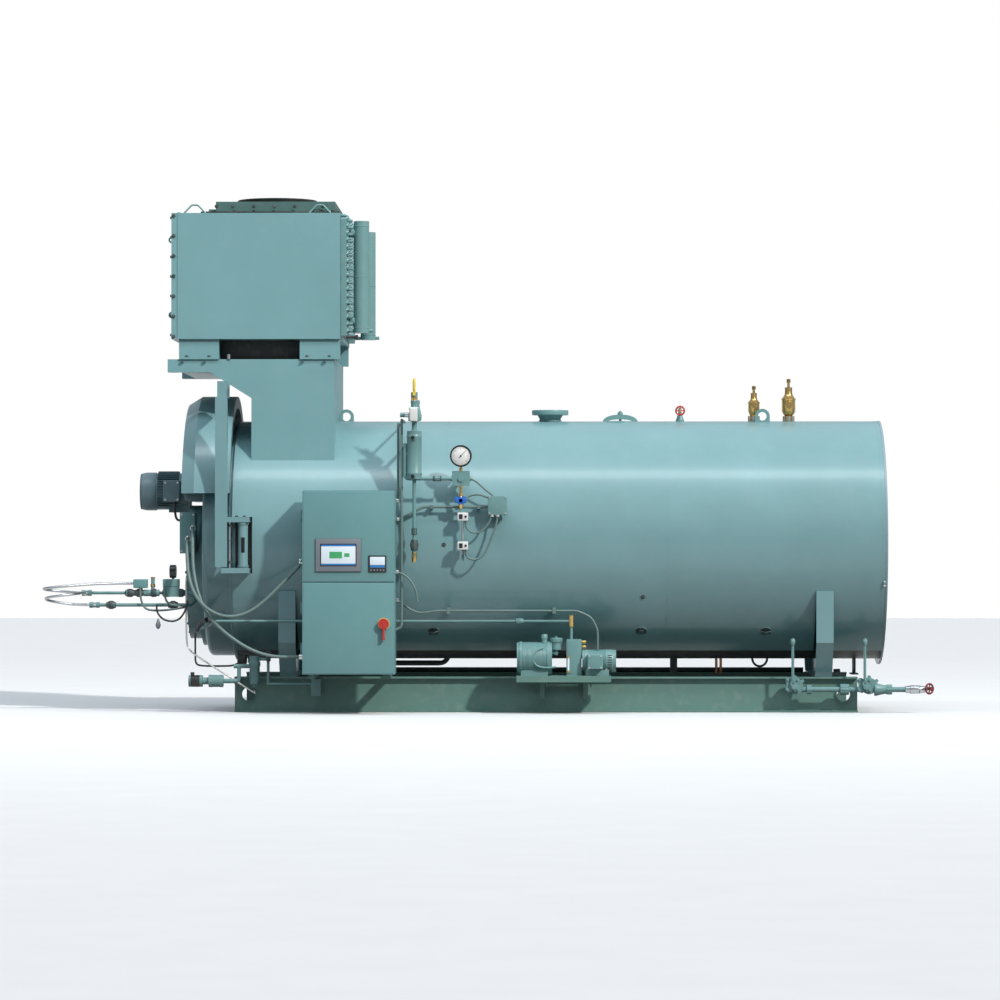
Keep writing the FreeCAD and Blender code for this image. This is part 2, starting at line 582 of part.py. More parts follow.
def top_fittings():
    """The steam nozzle, the manway, the vent valve and the two safety valves."""
    top = "(axis_height + shell_radius)"
    flange = rod("Z", "steam_x", 0, "steam_top - steam_flange", "steam_flange_radius", "steam_flange")
    hub = cone("Z", "steam_x", 0, "steam_top - steam_flange - 70", "steam_neck", "steam_hub", 70)
    neck = rod("Z", "steam_x", 0, f"{top} - 40", "steam_bore + 15", f"steam_top - steam_flange - {top} + 40")
    bolts = [rod("Z", f"steam_x + steam_bolt_circle * cos({a})", f"steam_bolt_circle * sin({a})",
                 "steam_top - 2 * steam_flange", "steam_bolt_hole", "3 * steam_flange") for a in range(15, 375, 30)]
    bore = rod("Z", "steam_x", 0, "axis_height", "steam_bore", "steam_top")
    keep("steam_nozzle", cut(fuse(flange, hub, neck), bore, *bolts, vessel_body()))

    seat_height = f"({top} + insulation - manway_sunk)"
    neck = rod("Z", "manway_x", 0, f"{top} - 40", "manway_neck", "insulation + 40 - manway_sunk")
    outer, inner = [], []
    for angle in range(0, 181, 20):
        outer.append((f"manway_x + manway_width / 2 * cos({angle})",
                      f"{seat_height} + (manway_top - {seat_height}) * sin({angle})"))
        inner.insert(0, (f"manway_x + (manway_width / 2 - manway_bar / 2) * cos({angle})",
                         f"{seat_height} + manway_slit * sin({angle})"))
    arch = plate_xz(outer + inner, "-manway_bar / 2", "manway_bar")
    stud = rod("Z", "manway_x", 0, f"{seat_height} - 10", 14, f"manway_top + 40 - {seat_height}")
    nut = rod("Z", "manway_x", 0, "manway_top - 8", 28, 30)
    keep("manway", cut(fuse(neck, arch, stud, nut), vessel_body()))

    body = fuse(rod("Z", "vent_x", 0, f"{top} - 4", 30, "insulation + 20"),
                cone("Z", "vent_x", 0, f"{top} + insulation", 44, 18, 78),
                rod("Z", "vent_x", 0, f"{top} + insulation + 70", 16, f"vent_wheel_z - {top} - insulation - 60"),
                rod("Y", "vent_x", "-vent_out + 4", "vent_wheel_z", 12, "vent_out + 2"))
    keep("top_vent_valve", cut(body, vessel_body()))
    wheel = fuse(ring("Y", "vent_x", "-vent_out", "vent_wheel_z", "vent_wheel - 9", 9),
                 rod("Y", "vent_x", "-vent_out - 12", "vent_wheel_z", 15, 26),
                 box("vent_x - vent_wheel + 12", "vent_x + vent_wheel - 12", "-vent_out - 4", "-vent_out + 4",
                     "vent_wheel_z - 5", "vent_wheel_z + 5"),
                 box("vent_x - 5", "vent_x + 5", "-vent_out - 4", "-vent_out + 4",
                     "vent_wheel_z - vent_wheel + 12", "vent_wheel_z + vent_wheel - 12"))
    keep("vent_handwheel", cut(wheel, rod("Y", "vent_x", "-vent_out", "vent_wheel_z", 12.05, 20)))

    valves = []
    for x, waist, height, outlet in (("safety_small_x", 58, 373, 38), ("safety_large_x", 70, 447, 44)):
        foot = f"{top} + insulation"
        valves.append(cut(fuse(
            rod("Z", x, 0, f"{top} - 4", 26, "insulation + 20"),
            hexagon("Z", x, 0, foot, 62, 56),
            cone("Z", x, 0, f"{foot} + 56", 38, waist, 54),
            rod("Z", x, 0, f"{foot} + 110", waist, f"{height} * 0.52 - 110"),
            cone("Z", x, 0, f"{foot} + {height} * 0.52", waist, waist * 0.62, height * 0.10),
            rod("Z", x, 0, f"{foot} + {height} * 0.60", waist * 0.55, height * 0.2),
            rod("Z", x, 0, f"{foot} + {height} * 0.78", 12, height * 0.15),
            rod("Z", x, 0, f"{foot} + {height} * 0.90", 20, height * 0.10),
            rod("Y", x, -waist - 20, f"{foot} + 165", outlet, waist + 20)), vessel_body()))
    keep("safety_valves", group(*valves))


# ---- cabinet -------------------------------------------------------------------------------

HINGE_HEIGHTS = ("base_height + 247", "door_split - 320", "door_split + 200", "base_height + cabinet_height - 273")


def cabinet():
    """The free-standing control cabinet: a folded shell with two compartments and two doors."""
    left, right = "cabinet_left", "cabinet_left + cabinet_width"
    back = "cabinet_front + cabinet_depth"
    low = "base_height + 47"
    high = f"{low} + cabinet_height"
    front = "cabinet_front + door_thickness + door_gap"
    wall = "cabinet_wall"
    shell = box(left, right, front, back, low, high)
    shelf = "door_split - cabinet_wall / 2"
    lower = box(f"{left} + {wall}", f"{right} - {wall}", f"{front} - 10", f"{back} - {wall}",
                f"{low} + {wall}", shelf)
    upper = box(f"{left} + {wall}", f"{right} - {wall}", f"{front} - 10", f"{back} - {wall}",
                f"{shelf} + {wall}", f"{high} - {wall}")
    hinge = "cabinet_left - hinge_stand"
    turn = "cabinet_front + door_thickness"
    knuckles = []
    for z in HINGE_HEIGHTS:
        knuckles.append(rod("Z", hinge, turn, z, "hinge_pin", "hinge_length"))
        for end in (z, f"{z} + hinge_length - 30"):
            knuckles.append(rod("Z", hinge, turn, end, "hinge_barrel", 30))
            knuckles.append(box(hinge, left, turn, f"{turn} + 30", end, f"{end} + 30"))
    keep("cabinet_body", fuse(cut(shell, lower, upper), *knuckles))
    spans = {"lower_door": (f"{low}", "door_split - door_margin / 2"),
             "upper_door": ("door_split + door_margin / 2", high)}
    for name, (door_low, door_high) in spans.items():
        slab = box(left, right, "cabinet_front", "cabinet_front + door_thickness", door_low, door_high)
        hollow = box(f"{left} + 30", f"{right} - 30", "cabinet_front + 4", front, f"{door_low} + 30", f"{door_high} - 30")
        extras = []
        if name == "lower_door":
            extras.append(rod("Y", "switch_x", "cabinet_front - 8", "switch_z", "switch_plate", 12))
            extras.append(rod("Y", "switch_x", "cabinet_front - 20", "switch_z", 14, 24))
        cores = []
        for z in HINGE_HEIGHTS[:2] if name == "lower_door" else HINGE_HEIGHTS[2:]:
            core_low, core_high = f"{z} + 31", f"{z} + hinge_length - 31"
            extras.append(rod("Z", hinge, turn, core_low, "hinge_barrel", f"{core_high} - ({core_low})"))
            extras.append(box(hinge, left, f"{turn} - 16", f"{turn} - 2", core_low, core_high))
            cores.append(rod("Z", hinge, turn, z, "hinge_pin + 0.05", "hinge_length"))
        keep(name, cut(fuse(cut(slab, hollow), *extras), *cores))
    screen = box("screen_left", "screen_left + screen_width", "cabinet_front - screen_depth",
                 "cabinet_front", "screen_low", "screen_low + screen_height")
    panel = box("panel_left", "panel_left + panel_width", "cabinet_front - panel_depth",
                "cabinet_front", "panel_low", "panel_low + panel_height")
    keep("door_displays", group(screen, panel))
    knob = fuse(rod("Y", "switch_x", "cabinet_front - 14 - knob_depth", "switch_z", "knob_radius", "knob_depth"),
                box("switch_x - knob_bar / 2", "switch_x + knob_bar / 2", "cabinet_front - 14 - knob_depth",
                    "cabinet_front - 24", "switch_z - knob_lever", "switch_z"))
    keep("disconnect_handle", cut(knob, rod("Y", "switch_x", "cabinet_front - 24", "switch_z", 14.05, 20)))
    arms = [box(x, f"{x} + bracket_width", "cabinet_front + door_thickness + 20", "-base_half_width + rail_flange",
                "base_height", low) for x in ("cabinet_left + 60", "cabinet_left + cabinet_width - 120")]
    spacers = [box(x, f"{x} + bracket_width", back, "-shell_radius + 20", "axis_height - 40", "axis_height + 40")
               for x in ("cabinet_left + 60", "cabinet_left + cabinet_width - 120")]
    vessel = rod("X", "front_end", 0, "axis_height", JACKET, "rear_end - front_end")
    keep("cabinet_brackets", cut(group(*arms, *spacers), vessel))


# ---- water column and its controls ---------------------------------------------------------

def water_column():
    """The level chamber with its probe, the blow-off valve above it and its piping."""
    x, y = "column_x", "-column_out"
    chamber = fuse(rod("Z", x, y, "column_low", "column_radius", "column_high - column_low"),
                   rod("Z", x, y, "column_high", 26, 104),
                   rod("Z", x, y, "column_high + 102", 62, 80),
                   rod("Y", x, f"{y} - column_radius - 24", "column_high - 70", 22, 60),
                   rod("Y", x, f"{y} - column_radius - 24", "column_low + 24", 22, 60),
                   rod("X", f"{x} - 145", y, "column_high + 165", 24, 130),
                   rod("Z", x, y, "column_high + 180", 34, "lever_pivot_z - column_high - 190"),
                   rod("Y", x, f"{y} - 44", "lever_pivot_z - 30", 22, 44),
                   box(f"{x} - 42", f"{x} + 42", f"{y} - 130", f"{y} - 60", "column_high + 96", "column_high + 235"))
    column = keep("water_column", cut(chamber, rod("Y", x, f"{y} - 44", "lever_pivot_z - 30", 10.05, 22)))
    lever = fuse(box(f"{x} - 14", f"{x} + 14", f"{y} - 60", f"{y} - 50", "lever_pivot_z - 46", "lever_pivot_z + 127"),
                 rod("Y", x, f"{y} - 60", "lever_pivot_z - 30", 10, 38))
    keep("column_valve_lever", lever)
    drop = fuse(rod("Z", x, y, 1770, 19, "column_low - 1770"), rod("Z", x, y, 1830, 27, 60),
                rod("Z", x, y, 1672, 32, 102), rod("Z", x, y, 1549, 24, 130), rod("Y", x, f"{y} - 30", 1610, 20, 60))
    upper = route([("column_x - 95", "-shell_radius * 0.55", "column_low + 350"), ("column_x - 95", y, "column_low + 350"),
                   ("column_x - 95", y, "column_low + 4"), ("gauge_x - 90", y, "column_low + 4")], 19, 40)
    coupling = rod("X", "column_x + 210", y, "column_low + 4", 27, 54)
    tee = rod("X", "column_x - 95", y, "column_low + 250", 16, 60)
    keep("column_piping", cut(fuse(drop, upper, coupling, tee), vessel_body(JACKET), column))


def gauge_and_switches():
    """The pressure gauge on its manifold, the cock below it and the two pressure switches."""
    face = "gauge_face"
    back = f"{face} + gauge_depth"
    gauge = fuse(rod("Y", "gauge_x", face, "gauge_z", "gauge_radius", "gauge_depth"),
                 rod("Z", "gauge_x", f"{back} - 30", "gauge_z - gauge_radius - 44", 14, 60))
    keep("pressure_gauge", gauge)
    manifold = fuse(
        box("gauge_x - 90", "gauge_x + 90", f"{face} + 14", f"{back} + 20", 2328, "gauge_z - gauge_radius - 40"),
        rod("Z", "cock_x", f"{back} - 30", 2040, 14, 300),
        rod("Y", "cock_x", f"{face} - 26", "cock_z", 18, 50),
        rod("Z", "cock_x + 20", f"{back} - 30", 1560, 12, 500),
        box("cock_x - 30", "cock_x + 50", f"{back} - 46", f"{back} - 14", 2030, 2070),
        rod("Y", "gauge_x", f"{back}", 2400, 30, 250))
    vessel = rod("X", "front_end", 0, "axis_height", JACKET, "rear_end - front_end")
    keep("gauge_manifold", cut(manifold, vessel, rod("Y", "cock_x", f"{face} - 40", "cock_z", 9.05, 40), gauge))
    handle = fuse(box("cock_x - 60", "cock_x + 60", f"{face} - 46", f"{face} - 30", "cock_z + 8", "cock_z + 38"),
                  box("cock_x - 20", "cock_x + 20", f"{face} - 46", f"{face} - 30", "cock_z - 40", "cock_z + 10"),
                  rod("Y", "cock_x", f"{face} - 46", "cock_z", 9, 46))
    keep("gauge_cock_handle", handle)
    switches = []
    for z in (1972, 1676):
        switches.append(cut(box("cock_x - 32", "cock_x + 73", f"{face} - 40", f"{back} - 30", z, z + 77), manifold))
    keep("pressure_switches", group(*switches))
    box_out = "gauge_face"
    junction = box("box_left", "box_left + box_size", box_out, f"{box_out} + box_depth", "box_low", "box_low + box_size")
    stand = box("box_left + 40", "box_left + 150", f"{box_out} + box_depth", -1100, "box_low + 40", "box_low + 150")
    keep("control_junction_box", cut(fuse(junction, stand), vessel))


def rigid_conduits():
    """Straight conduits strapped to the jacket between the cabinet, the controls and the gauge."""
    y = "-air_out - 20"
    side = "cabinet_left + cabinet_width"
    top_x, top_y = "cabinet_left + cabinet_width + 22", "-air_out - 60"
    top = fuse(route([(top_x, -700, 2960), (top_x, top_y, 2960), (top_x, top_y, 2162)], 14, 60),
               rod("X", side, top_y, 2176, 14, 22))
    silver_y = "-column_out + 20"
    silver = route([("column_x - 130", -560, 3000), ("column_x - 130", silver_y, 3000),
                    ("column_x - 130", silver_y, 886), (side, silver_y, 858)], 14, 40)
    strip = route([(side, y, 1985), ("column_x - 100", y, 2010), ("column_x + 55", y, 2096),
                   ("column_x + 95", y, 2111), ("box_left", y, 2111)], 14, 80)
    low_y = "-air_out - 55"
    low = route([("cabinet_left + cabinet_width + 366", low_y, 1042), (-1090, low_y, 1050), (320, low_y, 1050),
                 (470, low_y, 985), (532, low_y, 850), (532, low_y, 641)], "small_conduit_radius", 150)
    clamps = [box(x, f"{x} + 34", f"{low_y} - 16", -1030, 1020, 1080) for x in (-1010, 70)]
    upper_clamps = [box(x, f"{x} + 30", f"{y} - 18", -1190, 2092, 2130) for x in (-1180, -700)]
    runs = group(fuse(top), silver, fuse(strip, *upper_clamps), fuse(low, *clamps))
    keep("rigid_conduits", cut(runs, vessel_body(JACKET)))


# ---- compressed air ------------------------------------------------------------------------

def compressor():
    """The atomizing air compressor, its oil tank and motor on a bracketed tray."""
    tray = fuse(
        box("tray_left", "tray_right", "tray_front", "tray_back", "tray_top - tray_depth", "tray_top"),
        *[box(f"{x}", f"{x} + 48", "tray_back - 220", "-base_half_width + rail_flange / 2 - rail_web / 2", 151,
              "tray_top - tray_depth") for x in (-59, 385)],
        *[rod("Z", f"{x}", "tray_front + 60", "tray_top - tray_depth - 50", 10, 60) for x in (10, 462)])
    keep("compressor_tray", tray)
    y = "(tray_front + tray_back) / 2"
    x = "tray_left + 4"
    z = "tray_top + drum_radius + 10"
    body = fuse(
        rod("X", x, y, z, "drum_radius", "drum_length"),
        rod("X", f"{x} + 24", y, z, "drum_radius + 8", 30),
        rod("X", f"{x} + drum_length - 54", y, z, "drum_radius + 8", 30),
        box(f"{x} + 40", f"{x} + drum_length - 40", f"{y} - 120", f"{y} + 120", "tray_top", f"{z} - 80"),
        rod("Z", f"{x} + 280", f"{y} - 40", f"{z} + 60", 28, 190),
        rod("Z", f"{x} + 400", f"{y}", f"{z} + 90", 54, 75),
        rod("Z", f"{x} + 400", f"{y}", f"{z} + 165", 64, 44),
        rod("X", f"{x} + 330", y, f"{z} + 60", 22, 90),
        rod("Z", f"{x} + 400", f"{y}", f"{z} + 36", 20, 70))
    keep("air_compressor", body)
    motor = fuse(rod("X", "tray_right - 293", y, "tray_top + 149", 114, 345),
                 box("tray_right - 240", "tray_right - 88", f"{y} - 190", f"{y} - 90", "tray_top + 68", "tray_top + 216"),
                 box("tray_right - 260", "tray_right - 20", f"{y} - 100", f"{y} + 100", "tray_top", "tray_top + 60"))
    keep("compressor_motor", motor)
    tank = fuse(box("tank_x - tank_half", "tank_x + tank_half", f"{y} - tank_half", f"{y} + tank_half",
                    "tray_top", "tray_top + tank_height"),
                rod("Z", "tank_x - 28", f"{y}", "tray_top + tank_height - 5", 15, "air_height - tray_top - tank_height - 52"),
                rod("X", "tank_x + 60", y, "tray_top + tank_height - 30", 12, 50),
                rod("X", "tank_x + 60", y, "tray_top + tank_height - 80", 12, 50))
    keep("air_oil_tank", tank)


def air_line():
    """The air pipe along the jacket from the tank to the burner."""
    y = "-air_out"
    pipe = route([("tank_x - 28", "(tray_front + tray_back) / 2", "air_height - 60"), ("tank_x - 28", "(tray_front + tray_back) / 2", "air_height"),
                  ("tank_x - 140", y, "air_height"), ("air_left + 60", y, "air_height"), ("air_left - 40", "-air_out + 260", "air_height - 60"),
                  ("air_left - 200", "-burner_radius + 20", "air_height - 100")], "air_radius", 40)
    union = hexagon("X", -300, y, "air_height", 26, 70)
    keep("air_line", fuse(pipe, union))


# ---- blowdown ------------------------------------------------------------------------------

def blowdown():
    """Two quick-opening levers, a slow-opening handwheel and the pipe that joins them."""
    y = "-blow_out"
    z = "blow_z"
    bodies = []
    for x in ("lever_x + 27", "lever_rear_x + 49"):
        bodies.append(rod("Y", x, f"{y} - 40", f"{z} + 36", 84, 110))
        for angle in (35, 90, 145, 215):
            bodies.append(rod("Y", f"{x} + 92 * cos({angle})", f"{y} - 40", f"{z} + 36 + 92 * sin({angle})", 18, 30))
    pins = [rod("Y", x, "-lever_out - 2", f"{z} + 60", 12, "lever_out - blow_out - 20") for x in ("lever_x", "lever_rear_x")]
    pipe = rod("X", "lever_x + 60", y, z, "blow_radius", "wheel_x - lever_x - 60 - 200")
    union = hexagon("X", 3025, y, z, 56, 88)
    reducer = cone("X", 3375, y, z, 64, 40, 125)
    coupling = hexagon("X", 3498, y, z, 50, 58)
    valve = fuse(rod("X", "wheel_x - 237", y, z, 36, 195), rod("X", "wheel_x - 190", y, z, 42, 100))
    riser = rod("Y", "lever_x + 27", "-blow_out + 60", f"{z} + 20", 40, "blow_out - base_half_width - 60 + rail_flange / 2 - rail_web / 2")
    stem = doc.addObject("Part::Cylinder", "stem")
    bind(stem, Radius="11", Height="120")
    stem.Placement = FreeCAD.Placement(Vector(), Rotation(Vector(0, 0, 1), stem_direction()))
    place(stem, "wheel_x - 60", y, f"{z} + 10")
    keep("blowdown_piping", fuse(*bodies, *pins, pipe, union, reducer, coupling, valve, riser, stem))
    for name, x in (("blowdown_lever_front", "lever_x"), ("blowdown_lever_rear", "lever_rear_x")):
        lever = fuse(box(f"{x} - 14", f"{x} + 14", "-lever_out - 12", "-lever_out", f"{z} + 40", f"{z} + 60 + lever_length - 30"),
                     rod("Y", x, "-lever_out - 12", f"{z} + 60", 26, 12),
                     rod("Z", x, "-lever_out - 6", f"{z} + 60 + lever_length - 60", 20, 66))
        keep(name, cut(lever, rod("Y", x, "-lever_out - 13", f"{z} + 60", 12.05, 14)))


def stem_direction():
    """The unit vector along the tilted valve stem, outwards."""
    turn = math.radians(size("wheel_tilt"))
    return Vector(math.sin(turn), -math.cos(turn), 0)


def blowdown_handwheel():
    """The wheel on the tilted stem of the slow-opening valve."""
    along = stem_direction()
    turn = Rotation(Vector(0, 0, 1), along)
    start = Vector(size("wheel_x - 60"), size("-blow_out"), size("blow_z + 10")) + along * 104
    pieces = []
    for kind, values in (("Part::Torus", dict(Radius1="wheel_radius - 10", Radius2="10")),
                         ("Part::Cylinder", dict(Radius="20", Height="30"))):
        piece = doc.addObject(kind, "wheel")
        bind(piece, **values)
        piece.Placement = FreeCAD.Placement(start, turn)
        pieces.append(piece)
    for angle in range(0, 180, 60):
        spoke = doc.addObject("Part::Box", "spoke")
        bind(spoke, Length="2 * wheel_radius - 20", Width="10", Height="8")
        local = FreeCAD.Placement(Vector(), Rotation(Vector(0, 0, 1), angle))
        shift = FreeCAD.Placement(Vector(-size("wheel_radius - 10"), -5, -4), Rotation())
        spoke.Placement = FreeCAD.Placement(start, turn).multiply(local).multiply(shift)
        pieces.append(spoke)
    hole = doc.addObject("Part::Cylinder", "hole")
    bind(hole, Radius="11.05", Height="62")
    hole.Placement = FreeCAD.Placement(start - along * 45, turn)
    keep("blowdown_handwheel", cut(fuse(*pieces), hole))


# ---- fuel piping ---------------------------------------------------------------------------

def fuel_train():
    """Oil pipes, valves and hose connectors in front of the burner, and the gas valve below."""
    y = "-fuel_out"
    high, low = "fuel_high", "fuel_low"
    train = fuse(
        rod("X", "fuel_inlet_x", y, high, 31, 104), rod("Y", "fuel_inlet_x + 40", f"{y} - 60", high, 22, 70),
        hexagon("X", -4330, y, high, 40, 60),
        box(-4254, -4114, f"{y} - 50", f"{y} + 50", "fuel_high + 50", "fuel_high + 140"),
        rod("Z", -4184, y, high, 22, 60), rod("Z", -4057, y, high, 20, 160),
        rod("X", -4150, y, high, 34, 160), box(-3949, -3784, f"{y} - 45", f"{y} + 45", "fuel_high - 40", "fuel_high + 140"),
        rod("X", -3880, y, "fuel_high + 222", 66, 62), rod("Z", -3848, y, "fuel_high + 130", 14, 60),
        rod("X", -4712, y, low, 30, 104), hexagon("X", -4520, y, low, 36, 70))
    returns = route([(-4640, y, low), (-3708, y, low), (-3680, "-fuel_out + 150", low), (-3640, "-burner_radius + 60", "fuel_low + 40")], 18, 40)
    feed = route([(-4720, y, high), (-3620, y, high), (-3600, "-fuel_out + 120", high), (-3600, "-burner_radius + 60", "fuel_high")], 16, 40)
    keep("fuel_train", cut(group(fuse(train, feed), returns), burner_body()))
    y = "-base_half_width - 60"
    gas = fuse(
        rod("X", -3678, y, 322, 60, 144), rod("X", -3534, y, 322, 34, 70), rod("X", -3472, y, 322, 62, 151),
        rod("X", -3325, y, 322, 24, 150),
        rod("Z", -2999, y, 330, 52, 250), rod("Z", -2999, y, 261, 22, 80),
        rod("X", -3215, y, 475, 22, 240),
        box(-3210, -3150, y, "-base_half_width + rail_flange / 2 - rail_web / 2", 290, 346),
        rod("Z", -2859, y, 280, 15, 290), rod("X", -2999, y, 545, 14, 150),
        rod("X", -2872, y, 290, 15, 500), box(-2416, -2314, f"{y} - 50", f"{y} + 30", 169, 344))
    stem = route([(-3205, y, 322), (-3160, y, 330), (-3160, y, 475), (-3060, y, 475)], 20, 30)
    keep("gas_valve", fuse(gas, stem))


def handholes():
    """Hand-hole covers and their yoke bolts, on the lower flank of the shell."""
    covers = []
    for x in HAND_HOLES:
        cover = fuse(flank_rod(x, "hand_angle", "hand_cover", "shell_radius - 20", 46),
                     flank_rod(x, "hand_angle", 16, "shell_radius", 46))
        covers.append(cut(cover, vessel_body()))
    keep("handhole_covers", group(*covers))


# ---- flexible conduits and hoses -----------------------------------------------------------

def cords():
    """Flexible runs, each from a gland or connector to the next piece."""
    face = "burner_box_front"
    cord("burner_conduit_upper", [
        (-3690, face, 1790), (-3690, -1005, 1778), (-3688, -1075, 1745), (-3684, -1135, 1690),
        (-3678, -1200, 1590), (-3664, -1270, 1460), (-3630, -1350, 1320), (-3560, -1440, 1180),
        (-3450, -1510, 1070), (-3310, -1550, 1000), (-3150, -1560, 990), (-2990, -1555, 1050),
        (-2850, -1545, 1160), (-2720, -1535, 1290), (-2590, -1530, 1420), ("cabinet_left", -1530, 1555)],
        "conduit_radius")
    cord("burner_conduit_lower", [
        (-3640, face, 1900), (-3636, -1005, 1890), (-3632, -1075, 1860), (-3628, -1130, 1805),
        (-3624, -1175, 1730), (-3620, -1220, 1620), (-3608, -1280, 1470), (-3575, -1345, 1310),
        (-3520, -1410, 1150), (-3440, -1470, 1000), (-3320, -1520, 875), (-3180, -1550, 765),
        (-3020, -1560, 665), (-2850, -1555, 600), (-2670, -1540, 578), ("cabinet_left", -1530, 583)],
        "conduit_radius")
    out = "-fuel_out"
    cord("fuel_hose_supply", [
        (-4254, out, 1327), (-4365, -908, 1327), (-4475, -935, 1326), (-4585, -980, 1324), (-4695, -1030, 1319),
        (-4805, -1078, 1311), (-4915, -1110, 1301), (-5021, -1120, 1291), (-5101, -1099, 1283),
        (-5160, -1040, 1275), (-5181, -960, 1267), (-5160, -880, 1259), (-5101, -821, 1251),
        (-5021, -800, 1243), (-4941, -821, 1237), (-4875, -872, 1231), ("fuel_inlet_x", out, "fuel_high")],
        "hose_radius")
    cord("fuel_hose_return", [
        (-4712, out, "fuel_low"), (-4820, -900, 1106), (-4928, -914, 1115), (-5030, -958, 1130),
        (-5108, -1032, 1147), (-5142, -1130, 1164), (-5120, -1230, 1180), (-5050, -1306, 1194),
        (-4952, -1328, 1206), (-4862, -1288, 1216), (-4800, -1206, 1224), (-4776, -1104, 1228),
        ("fuel_inlet_x + 40", "-fuel_out - 60", "fuel_high")], "hose_radius")
    side = "cabinet_left + cabinet_width"
    cord("cabinet_conduit_front", [
        (side, -1480, 1450), (f"{side} + 49", -1480, 1437),
        (f"{side} + 98", -1480, 1410), (f"{side} + 142", -1480, 1370),
        (f"{side} + 177", -1480, 1321), (f"{side} + 202", -1480, 1266),
        (f"{side} + 216", -1480, 1209), (f"{side} + 221", -1480, 1150)], "small_conduit_radius")
    cord("cabinet_conduit_rear", [
        (side, "-air_out - 55", 1161), ("cabinet_left + cabinet_width + 52", "-air_out - 55", 1130), ("cabinet_left + cabinet_width + 106", "-air_out - 55", 1090),
        ("cabinet_left + cabinet_width + 166", "-air_out - 55", 1052), ("cabinet_left + cabinet_width + 232", "-air_out - 55", 1030),
        ("cabinet_left + cabinet_width + 300", "-air_out - 55", 1030), ("cabinet_left + cabinet_width + 366", "-air_out - 55", 1042)],
        "small_conduit_radius")
    y = "gauge_face - 8"
    cord("switch_conduit_upper", [
        (-820, y, 1972), (-818, y, 1928), (-800, y, 1888), (-768, y, 1858), (-726, y, 1846), (-684, y, 1850),
        (-642, y, 1872), (-606, y, 1908), (-578, y, 1950), (-560, y, 1992), (-550, y, 2031)], "small_conduit_radius")
    cord("switch_conduit_lower", [
        (-820, y, 1676), (-816, y, 1632), (-796, y, 1596), (-758, y, 1574), (-712, y, 1572), (-668, y, 1590),
        (-632, y, 1624), (-604, y, 1668), (-580, y, 1722), (-556, y, 1784), (-532, y, 1848), (-510, y, 1912),
        (-496, y, 1974), (-490, y, 2031)], "small_conduit_radius")


# ---- writing -------------------------------------------------------------------------------

def seats():
    """Trim each piece that is let into another, so that the two meet face to face."""
    seat("air_line", "air_oil_tank")
    seat("cabinet_body", "burner_conduit_upper", "burner_conduit_lower", "cabinet_conduit_front",
         "cabinet_conduit_rear", "rigid_conduits")
    seat("rigid_conduits", "compressor_motor")
    seat("handhole_covers", "jacket")
    seat("saddles", "jacket")
    seat("lifting_points", "economizer_casing")
    seat("burner_conduit_upper", "burner_junction_box")
    seat("burner_conduit_lower", "burner_junction_box")
    seat("fuel_hose_supply", "fuel_train")
    seat("fuel_hose_return", "fuel_train")
    seat("cabinet_conduit_rear", "rigid_conduits")
    seat("switch_conduit_upper", "control_junction_box", "pressure_switches")
    seat("switch_conduit_lower", "control_junction_box", "pressure_switches")


def check_and_write():
    """Stop at any failed object or invalid shape, then write one STEP file per sub-part."""
    doc.recompute()
    for obj in doc.Objects:
        if {"Invalid", "Error"} & set(obj.State):
            raise RuntimeError(f"{obj.Name} ({obj.Label}) failed: {obj.State}")
    os.makedirs("parts", exist_ok=True)
    for item in SUBPARTS:
        shape = item.Shape
        if shape.isNull() or not shape.isValid() or not shape.Solids:
            raise RuntimeError(f"{item.Label} has no valid shape")
        shape.exportStep(f"parts/{item.Label}.step")
        print(f"{item.Label}: {len(shape.Solids)} solids, {shape.Volume / 1e9:.4f} m3")


pressure_vessel()
front_head()
windbox()
blower_motor()
davit()
rails()
saddles()
economizer_support()
economizer()
economizer_tubes()
lifting_points()
top_fittings()
cabinet()
water_column()
gauge_and_switches()
rigid_conduits()
compressor()
air_line()
blowdown()
blowdown_handwheel()
fuel_train()
handholes()
cords()
seats()
check_and_write()
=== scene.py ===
"""A skid-mounted fire-tube boiler with a flue economizer, dressed for display.

Metres, +Z up.  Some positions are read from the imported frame; most are numbers that repeat the
CAD model's own sizes, so they have to be changed with it.  Each class below dresses one
sub-assembly with surfaces computed as numpy grids, and each finish is a procedural material.
"""
import logging
import math
from dataclasses import dataclass, field
from enum import Enum

import bpy
import numpy as np
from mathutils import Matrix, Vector


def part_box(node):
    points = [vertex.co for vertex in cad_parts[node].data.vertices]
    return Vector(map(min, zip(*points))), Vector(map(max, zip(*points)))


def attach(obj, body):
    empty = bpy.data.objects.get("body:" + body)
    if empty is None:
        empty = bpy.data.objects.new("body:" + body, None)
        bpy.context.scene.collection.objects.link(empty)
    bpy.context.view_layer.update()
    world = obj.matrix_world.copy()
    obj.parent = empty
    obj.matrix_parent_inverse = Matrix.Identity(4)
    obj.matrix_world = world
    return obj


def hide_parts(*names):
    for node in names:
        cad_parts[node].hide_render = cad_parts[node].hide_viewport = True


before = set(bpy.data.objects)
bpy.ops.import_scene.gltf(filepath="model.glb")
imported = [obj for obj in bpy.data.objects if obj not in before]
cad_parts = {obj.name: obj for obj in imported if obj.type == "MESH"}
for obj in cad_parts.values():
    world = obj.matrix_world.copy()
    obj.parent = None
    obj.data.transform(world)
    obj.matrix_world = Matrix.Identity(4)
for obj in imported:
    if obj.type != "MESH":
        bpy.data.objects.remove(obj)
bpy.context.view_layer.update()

LOG = logging.getLogger("boiler")
Array = np.ndarray


class Axis(Enum):
    """The row axis that a turned surface spins about."""

    X = 0
    Y = 1
    Z = 2


# ---- finishes ------------------------------------------------------------------------------


